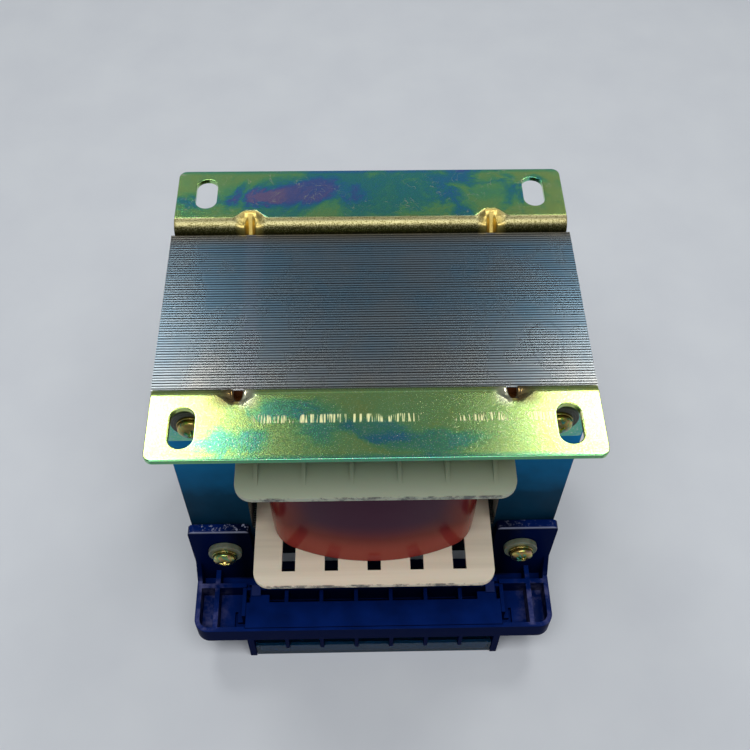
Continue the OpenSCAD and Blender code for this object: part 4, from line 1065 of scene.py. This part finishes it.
# each is shifted a little and gets its own tone
most = add_node(stack_tree, "ShaderNodeCombineXYZ", {"X": given["Shift"], "Z": given["Shift"]})
least = add_node(stack_tree, "ShaderNodeVectorMath", {0: most, "Scale": -1.0}, operation="SCALE")
nudge = add_node(stack_tree, "FunctionNodeRandomValue", {"Min": least, "Max": most,
                 "Seed": given["Seed"]}, data_type="FLOAT_VECTOR")
nudged = add_node(stack_tree, "GeometryNodeTranslateInstances", {"Instances": placed,
                  "Translation": nudge})
tone = add_node(stack_tree, "FunctionNodeRandomValue", {"Seed": given["Seed"]}, data_type="FLOAT")
toned = add_node(stack_tree, "GeometryNodeStoreNamedAttribute", {"Geometry": nudged,
                 "Name": "sheet_tone", "Value": tone}, data_type="FLOAT", domain="INSTANCE")

# the edges get one finish, and the faces that look along Y the other
real = add_node(stack_tree, "GeometryNodeRealizeInstances", {"Geometry": toned})
edged = add_node(stack_tree, "GeometryNodeSetMaterial", {"Geometry": real, "Material": given["Edges"]})
normal = add_node(stack_tree, "GeometryNodeInputNormal").outputs[0]
_, _, facing_y = measure(stack_tree, normal)
is_face = add_node(stack_tree, "ShaderNodeMath", {0: facing_y, 1: 0.95}, operation="GREATER_THAN")
faced = add_node(stack_tree, "GeometryNodeSetMaterial", {"Geometry": edged, "Selection": is_face,
                 "Material": given["Faces"]})
fill(stack_tree, result.inputs["Geometry"], faced)

core = grow("stacked_core", stack_tree, Pair=sheet_pair, Count=pair_count, Pitch=pair_pitch,
            Middle_Height=core_middle_z, Shift=play, Seed=4, Edges=sheet_steel, Faces=sheet_face)
stand_in(core, "core_laminations")
print("its attributes:", [attribute.name for attribute in core.data.attributes])

# %% [markdown]
# ## The coil
#
# The coil is wound on the bobbin's tube, so its plan is almost the tube's, with crowned ends where the
# wire bulges and a generous curve at each corner. Film is wrapped round it last. The plan is made of
# arcs and lines that run into each other, so it's drawn from its radii, and a stack of such loops,
# drawn in a little at both ends, makes the wrapped drum.

# %% The coil's plan, and its skin
crown_r = 85 * mm
corner_r = 14 * mm
drum_end = 0.5 * mm          # how far the drum draws in towards the flanges
wrap_r = 1.0 * mm            # rounding of the film over the coil's end

crown_y = coil_high.y - crown_r
corner_x = coil_high.x - corner_r
corner_y = crown_y + math.sqrt((crown_r - corner_r) ** 2 - corner_x ** 2)
meet = math.atan2(corner_y - crown_y, corner_x)      # where a corner runs into the crown


def coil_loop(z, inset=0.0):
    """The coil's plan at height z, as a loop of points."""
    def arc(centre, radius, start, end, steps):
        return [(centre[0] + (radius - inset) * math.cos(a), centre[1] + (radius - inset) * math.sin(a))
                for a in np.linspace(start, end, steps)]
    half = arc((corner_x, corner_y), corner_r, 0, meet, 24)[:-1]
    half += arc((0, crown_y), crown_r, meet, math.pi - meet, 48)[:-1]
    half += arc((-corner_x, corner_y), corner_r, math.pi - meet, math.pi, 24)
    side = half[-1]
    half += [(side[0], side[1] * s) for s in np.linspace(1, -1, 14)[1:-1]]
    return [(x, y, z) for x, y in half] + [(-x, -y, z) for x, y in half]


tube_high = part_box("bobbin_tube")[1]
coil_rings = []
for share in np.linspace(0, 1, 25):
    z = coil_low.z + wrap_r + share * (coil_high.z - coil_low.z - 2 * wrap_r)
    coil_rings.append(coil_loop(z, drum_end * (2 * share - 1) ** 2))
for a in np.radians([22.5, 45, 67.5, 90]):
    inset = drum_end + wrap_r * (1 - math.cos(a))
    coil_rings.insert(0, coil_loop(coil_low.z + wrap_r * (1 - math.sin(a)), inset))
    coil_rings.append(coil_loop(coil_high.z - wrap_r * (1 - math.sin(a)), inset))


def tube_loop(z):
    """The tube's rectangle, with its points set across from those of the coil's plan."""
    outline = []
    for x, y, _ in coil_loop(z):
        stretch = min(tube_high.x / max(abs(x), 1e-9), tube_high.y / max(abs(y), 1e-9))
        outline.append((x * stretch, y * stretch, z))
    return outline


coil_rings = [tube_loop(coil_low.z)] + coil_rings + [tube_loop(coil_high.z)]
coil = weigh_normals(make_piece("wrapped_coil", [skin(coil_rings, shut=True)], film))
stand_in(coil, "winding")

# %% [markdown]
# ## Softened mouldings
#
# The bobbin, the carriers, the blocks and the covers already have their full shape in the solids, with
# ribs, hooks, pockets and slots. What they lack is the small radius that every mould leaves on an
# edge, and without it no edge catches the light. A copy of each solid has its loose triangles
# merged back into flat faces, and a Bevel modifier rounds every edge sharper than 30 degrees.

# %% Copies with rounded edges
def soften(node, name, radius, finish):
    """A copy of a node with its edges rounded; it stands for the node from then on."""
    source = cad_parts[node]
    shell = bmesh.new()
    shell.from_mesh(source.data)
    bmesh.ops.remove_doubles(shell, verts=shell.verts, dist=0.004 * mm)
    bmesh.ops.dissolve_degenerate(shell, edges=shell.edges, dist=0.002 * mm)
    bmesh.ops.dissolve_limit(shell, angle_limit=math.radians(1), verts=shell.verts, edges=shell.edges,
                             delimit={"NORMAL"})
    mesh = bpy.data.meshes.new(name)
    shell.to_mesh(mesh)
    shell.free()
    mesh.polygons.foreach_set("use_smooth", [True] * len(mesh.polygons))
    mesh.materials.clear()
    mesh.materials.append(finish)
    piece = bpy.data.objects.new(name, mesh)
    bpy.context.scene.collection.objects.link(piece)
    bevel = piece.modifiers.new("mould radius", "BEVEL")
    bevel.width = radius
    bevel.segments = 2
    bevel.limit_method = "ANGLE"
    bevel.angle_limit = math.radians(30)
    bevel.use_clamp_overlap = True
    bevel.harden_normals = True
    stand_in(weigh_normals(piece), node)


for level in ("top", "bottom"):
    soften(f"bobbin_flange_{level}", f"moulded_flange_{level}", 0.35 * mm, nylon)
soften("bobbin_tube", "moulded_tube", 0.3 * mm, nylon)
for side in ("front", "rear"):
    soften(f"terminal_carrier_{side}", f"moulded_carrier_{side}", 0.25 * mm, navy)
    soften(f"terminal_block_{side}", f"moulded_block_{side}", 0.2 * mm, navy)
    soften(f"terminal_cover_{side}", f"moulded_cover_{side}", 0.15 * mm, clear)
    soften(f"insulating_washers_{side}", f"turned_insulators_{side}", 0.45 * mm, washer_nylon)
    soften(f"plain_washers_{side}", f"stamped_washers_{side}", 0.2 * mm, chromate_bolt)

# %% [markdown]
# ## Bolts and nuts
#
# Four M5 bolts run right through the stack. Their pan heads are at the front, with a cross recess, and
# their nuts at the rear, on split spring washers. A turned part is a stack of circles, so each bolt
# is one skin of rings from the middle of its head to its far end. The cross is pressed into the head
# by moving the rings' points down where they lie in a flute. The thread is a ridge whose place along
# the bolt moves on by one pitch a turn.

# %% A pan head bolt, along +Y from its head
bolt_r = 2.5 * mm
thread_pitch = 0.8 * mm
thread_depth = 0.4 * mm
flute_reach = 2.45 * mm      # half length of the cross, measured on the crown
flute_half = 0.6 * mm
recess_depth = 1.9 * mm
bolt_head_h = 3.2 * mm
bolt_crown_r = 7.6 * mm
thread_length = 11 * mm
around = np.linspace(0, 2 * math.pi, 96, endpoint=False)


def middle_xz(node):
    """The x and z of the middle of a node's box: the axis of a bolt or a nut."""
    low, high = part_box(node)
    return (low.x + high.x) / 2, (low.z + high.z) / 2


def pan_head_rings(head_r, head_h, crown_r, cross_turn):
    """Rings over a crowned head, from the middle of its top to its underside; y is the depth."""
    rings = []
    side_y = crown_r - math.sqrt(crown_r ** 2 - head_r ** 2)
    profile = [(r, crown_r - math.sqrt(crown_r ** 2 - r * r)) for r in np.linspace(0.01, 0.94, 32) * head_r]
    profile += [(head_r * 0.975, side_y * 0.96), (head_r, side_y + 0.25 * mm), (head_r, head_h - 0.15 * mm),
                (head_r - 0.15 * mm, head_h)]
    for r, y in profile:
        x, z = r * np.cos(around + cross_turn), r * np.sin(around + cross_turn)
        across = np.minimum(np.abs(x), np.abs(z))
        along = np.maximum(np.abs(x), np.abs(z))
        fall = 1 - smooth(flute_half - 0.2 * mm, flute_half + 0.1 * mm, across)
        taper = 1 - smooth(0.3 * flute_reach, flute_reach, along)
        dip = recess_depth * fall * np.minimum(taper * 1.5, 1)
        rings.append([(r * math.cos(a), y + d, r * math.sin(a)) for a, d in zip(around, dip)])
    return rings


def thread_rings(start, end):
    """Rings along a threaded shank, with a chamfer at its end."""
    rings = []
    for y in np.arange(start, end + 1e-9, thread_pitch / 8):
        wave = np.abs(((y / thread_pitch - around / (2 * math.pi)) % 1) * 2 - 1)
        chamfer = max(0.0, y - (end - 0.5 * mm))
        r = np.minimum(bolt_r - thread_depth * wave, bolt_r - chamfer)
        rings.append([(q * math.cos(a), y, q * math.sin(a)) for q, a in zip(r, around)])
    return rings


def make_bolt(node, name, cross_turn):
    low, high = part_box(node)
    x, z = middle_xz(node)
    head_r = (high.x - low.x) / 2
    rings = pan_head_rings(head_r, bolt_head_h, bolt_crown_r, cross_turn)
    rings += [[(bolt_r * math.cos(a), bolt_head_h, bolt_r * math.sin(a)) for a in around]]
    rings += thread_rings(high.y - low.y - thread_length, high.y - low.y)
    rings = [[(x + px, low.y + py, z + pz) for px, py, pz in ring] for ring in rings]
    stand_in(weigh_normals(make_piece(name, [skin(rings)], chromate_bolt)), node)


cross_turns = {"top_left": 0.4, "top_right": 1.1, "bottom_left": 0.15, "bottom_right": 0.75}
for corner, cross_turn in cross_turns.items():
    make_bolt(f"bolt_{corner}", f"pan_head_bolt_{corner}", cross_turn)

# %% Hexagon nuts, with both ends chamfered
nut_half = 4 * mm            # half the width over two flats
nut_bore = 2.55 * mm
bore_edge = 0.35 * mm        # the chamfer at both ends of the bore
face_r = 0.96 * nut_half     # the round face inside the chamfered corners
mid_r = nut_half * 1.06      # a ring part of the way down the chamfer
mid_drop = 0.2308 * mm       # how far that ring lies below the face
chamfer_slope = math.tan(math.radians(30))


def make_nut(node, name):
    low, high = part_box(node)
    x, z = middle_xz(node)
    height = high.y - low.y
    hexagon = nut_half / np.cos(around % (math.pi / 3) - math.pi / 6)
    drop = np.maximum(hexagon - face_r, 0) * chamfer_slope
    ones = np.ones_like(around)
    rows = [(nut_bore * ones, bore_edge * ones), ((nut_bore + bore_edge) * ones, 0 * ones),
            (face_r * ones, 0 * ones),
            (np.minimum(hexagon, mid_r), np.minimum(drop, mid_drop) * ones),
            (hexagon, drop), (hexagon, height - drop), (face_r * ones, height * ones),
            ((nut_bore + bore_edge) * ones, height * ones),
            (nut_bore * ones, (height - bore_edge) * ones)]
    rings = [[(x + r * math.cos(a), low.y + y, z + r * math.sin(a)) for r, y, a in zip(radii, ys, around)]
             for radii, ys in rows]
    nut = make_piece(name, [skin(rings, shut=True)], chromate_bolt)
    nut.data.set_sharp_from_angle(angle=math.radians(35))
    stand_in(nut, node)


for corner in cross_turns:
    make_nut(f"nut_{corner}", f"hexagon_nut_{corner}")

# %% Ribbed washers under the heads and the nuts on the brackets
rib_pitch = 0.9 * mm
rib_count = 4
rib_h = 0.35 * mm
washer_bore = 2.8 * mm


def ribbed_washer(bolt, low, high, outward):
    """One thick washer round a bolt, with rings moulded into the face that points outward."""
    x, z = middle_xz(bolt)
    thick, outer = high.y - low.y, (high.z - low.z) / 2
    foot_y = low.y if outward > 0 else high.y
    profile = [(washer_bore, 0), (outer - 0.2 * mm, 0), (outer, 0.2 * mm), (outer, thick - 0.4 * mm)]
    for number in range(rib_count):
        crest = outer - 0.45 * mm - number * rib_pitch
        profile += [(crest + 0.15 * mm, thick), (crest - 0.15 * mm, thick),
                    (crest - 0.4 * rib_pitch, thick - rib_h), (crest - 0.6 * rib_pitch, thick - rib_h)]
    profile += [(washer_bore, thick - rib_h)]
    rings = [[(x + r * math.cos(a), foot_y + outward * h, z + r * math.sin(a)) for a in around]
             for r, h in profile]
    return skin(rings, shut=True)


for side, outward in (("front", -1), ("rear", 1)):
    low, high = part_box(f"fibre_washers_{side}")
    washers = [ribbed_washer(bolt, low, high, outward) for bolt in ("bolt_top_left", "bolt_top_right")]
    ribbed = weigh_normals(make_piece(f"ribbed_washers_{side}", washers, fibre))
    stand_in(ribbed, f"fibre_washers_{side}")

# %% Split spring washers under the nuts
spring_inner = 2.7 * mm
spring_outer = 4.5 * mm
spring_t = 1.3 * mm
spring_lift = 0.1 * mm       # how far its two ends stand apart in height
spring_gap = math.radians(14)
wire_round = 0.15 * mm


def spring_rings(x, y, z, gap_at):
    """Sections round a washer that's cut through at an angle gap_at."""
    rings = []
    low_in, high_in = wire_round, spring_t - wire_round
    section = [(spring_inner, low_in), (spring_inner + wire_round, 0), (spring_outer - wire_round, 0),
               (spring_outer, low_in), (spring_outer, high_in), (spring_outer - wire_round, spring_t),
               (spring_inner + wire_round, spring_t), (spring_inner, high_in)]
    for share in np.linspace(0, 1, 60):
        a = gap_at + spring_gap / 2 + share * (2 * math.pi - spring_gap)
        lift = spring_lift * (share - 0.5)
        rings.append([(x + r * math.cos(a), y + min(max(h + lift, 0), spring_t), z + r * math.sin(a))
                      for r, h in section])
    return rings


gap_turns = {"top_left": 1.2, "top_right": 2.4, "bottom_left": 0.4, "bottom_right": 1.9}
spring_shapes = []
for corner, gap_at in gap_turns.items():
    x, z = middle_xz(f"nut_{corner}")
    nut_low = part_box(f"nut_{corner}")[0]
    spring_shapes.append(skin(spring_rings(x, nut_low.y - spring_t, z, gap_at)))
springs = weigh_normals(make_piece("split_spring_washers", spring_shapes, chromate_bolt))
stand_in(springs, "spring_washers_rear")

# %% [markdown]
# ## Terminal rows
#
# Each block has seven terminals: a zinc-plated bar, a saddle plate and a pan head screw. One of each is
# modelled at the row's middle, and a tree whose inputs are the part, the count, the pitch and the finish
# sets it along the row. It's the same tree for all six rows, so a change of pitch is made in one place.

# %% The row tree
row_tree, given, result = start_tree("terminal_row", {
    "Part": "NodeSocketObject", "Count": "NodeSocketInt", "Pitch": "NodeSocketFloat",
    "Finish": "NodeSocketMaterial"})
line = centred_line(row_tree, given, "X")
part_shape = add_node(row_tree, "GeometryNodeObjectInfo", {"Object": given["Part"]}).outputs["Geometry"]
placed = add_node(row_tree, "GeometryNodeInstanceOnPoints", {"Points": line, "Instance": part_shape})
real = add_node(row_tree, "GeometryNodeRealizeInstances", {"Geometry": placed})
finished = add_node(row_tree, "GeometryNodeSetMaterial", {"Geometry": real, "Material": given["Finish"]})
fill(row_tree, result.inputs["Geometry"], finished)

# %% A plate with rounded edges
plate_t = 1.2 * mm
plate_corner_r = 0.4 * mm


def plate(x, y, z0, z1, half_x, half_y, round_r=0.2 * mm):
    """A plate or block that stands on z0, with rounded edges all round."""
    corners = box_corners((x - half_x, y - half_y), (x + half_x, y + half_y))
    levels = [(z0, round_r), (z0 + 0.3 * round_r, 0.3 * round_r), (z0 + round_r, 0),
              (z1 - round_r, 0), (z1 - 0.3 * round_r, 0.3 * round_r), (z1, round_r)]
    rings = []
    for z, inset in levels:
        loop = rounded_loop(corners, [plate_corner_r] * 4, -inset, 1)
        rings.append([(px, py, z) for px, py in loop])
    return skin(rings)

# %% One screw, one saddle plate and one bar, for the rear block
terminal_count = 7
terminal_pitch = 15.1 * mm
screw_shank_r = 2 * mm
screw_crown_r = 9 * mm
bar_low, bar_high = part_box("terminal_bars_rear")
saddle_low, saddle_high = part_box("saddle_plates_rear")
screw_low, screw_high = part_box("terminal_screws_rear")
screw_y = (screw_low.y + screw_high.y) / 2

screw_head_r = (screw_high.x - screw_low.x - (terminal_count - 1) * terminal_pitch) / 2
screw_head_h = saddle_low.z - screw_low.z
screw_rings = [[(px, screw_y + pz, screw_low.z + py) for px, py, pz in ring]
               for ring in pan_head_rings(screw_head_r, screw_head_h, screw_crown_r, math.pi / 4)]
for z in (screw_low.z + screw_head_h, screw_high.z):
    screw_rings.append([(screw_shank_r * math.cos(a), screw_y + screw_shank_r * math.sin(a), z)
                        for a in around])
screw_part = make_piece("terminal_screw", [skin(screw_rings)])

saddle_half = (saddle_high.y - saddle_low.y) / 2
saddle_half_w = 5 * mm
side_x = 4.4 * mm            # the saddle's two upright sides stand this far out
side_half_t = 0.6 * mm
foot_gap = 0.2 * mm          # they and the bar's upright start this far up inside the plate
saddle_shapes = [plate(0, screw_y, saddle_low.z, saddle_low.z + plate_t, saddle_half_w, saddle_half)]
for x in (-side_x, side_x):
    saddle_shapes.append(plate(x, screw_y, saddle_low.z + foot_gap, saddle_high.z, side_half_t, saddle_half))
saddle_part = make_piece("saddle_plate", saddle_shapes)

bar_middle = (bar_low.y + bar_high.y) / 2
bar_half = (bar_high.y - bar_low.y) / 2
bar_half_w = 4.5 * mm
tab_half_w = 2.5 * mm        # the bar's upright tab
bar_shapes = [plate(0, bar_middle, bar_low.z, bar_low.z + plate_t, bar_half_w, bar_half),
              plate(0, bar_low.y + plate_t / 2, bar_low.z + foot_gap, bar_high.z, tab_half_w, plate_t / 2)]
bar_part = make_piece("terminal_bar", bar_shapes)

# %% Six rows from the three parts
for part, node in ((screw_part, "terminal_screws"), (saddle_part, "saddle_plates"),
                   (bar_part, "terminal_bars")):
    for side, turn in (("rear", 0), ("front", math.pi)):
        row = grow(f"{part.name}_row_{side}", row_tree, Part=part, Count=terminal_count,
                   Pitch=terminal_pitch, Finish=bright_zinc)
        row.data.transform(Matrix.Rotation(turn, 4, "Z"))
        row.data.set_sharp_from_angle(angle=math.radians(40))
        stand_in(row, f"{node}_{side}")
    bpy.data.objects.remove(part)

# %% [markdown]
# ## Studio
#
# The floor is a wide pale sheet. Two softboxes stand behind and above the transformer, so that the flat
# ends of the front bracket and the corners of the core throw their light straight at the camera. A wide
# faint one between them gives the flats a cool sheen, and a large one hangs high over the front. No lamp
# stands before the transformer, which keeps the coil and the carriers darker than the brackets.

# %% Floor
floor_half = 4.0
floor_paper, *_ = mottled_finish("matt_floor_paper", 40 * mm, 3.0, [(0.3, "#D0D3D6"), (0.7, "#D5D8DA")],
                                 Roughness=0.85)
floor_corners = [(x * floor_half, y * floor_half, 0) for x, y in ((-1, -1), (1, -1), (1, 1), (-1, 1))]
floor = make_piece("floor", [(floor_corners, [(0, 1, 2, 3)])], floor_paper)

# %% Lights and surroundings
def softbox(name, place, width, depth, watts, tint="#FFFFFF"):
    """A rectangular lamp, in metres and watts, that faces the transformer's middle."""
    lamp = bpy.data.lights.new(name, "AREA")
    lamp.shape = "RECTANGLE"
    lamp.size, lamp.size_y = width, depth
    lamp.energy = watts
    lamp.color = linear(tint)[:3]
    box = bpy.data.objects.new(name, lamp)
    bpy.context.scene.collection.objects.link(box)
    box.location = place
    box.rotation_euler = (lit_middle - Vector(place)).to_track_quat("-Z", "Y").to_euler()


lit_middle = Vector((0, 0, 120)) * mm
softbox("softbox_rear_left", (-0.37, 0.51, 1.0), 0.28, 0.24, 1.8)
softbox("softbox_rear_right", (0.42, 0.51, 1.0), 0.28, 0.24, 1.8)
softbox("softbox_back", (0, 1.15, 1.0), 1.8, 0.3, 0.4, "#DCEBFF")
softbox("softbox_overhead", (0, -0.45, 1.4), 1.4, 0.7, 13.0, "#FBFBFF")

world = bpy.data.worlds.new("studio")
bpy.context.scene.world = world
world.use_nodes = True
sky = world.node_tree.nodes["Background"]
sky.inputs["Color"].default_value = linear("#DCE6F0")
sky.inputs["Strength"].default_value = 0.24
bpy.context.scene.view_settings.view_transform = "Standard"
print("lamps:", len(bpy.data.lights))
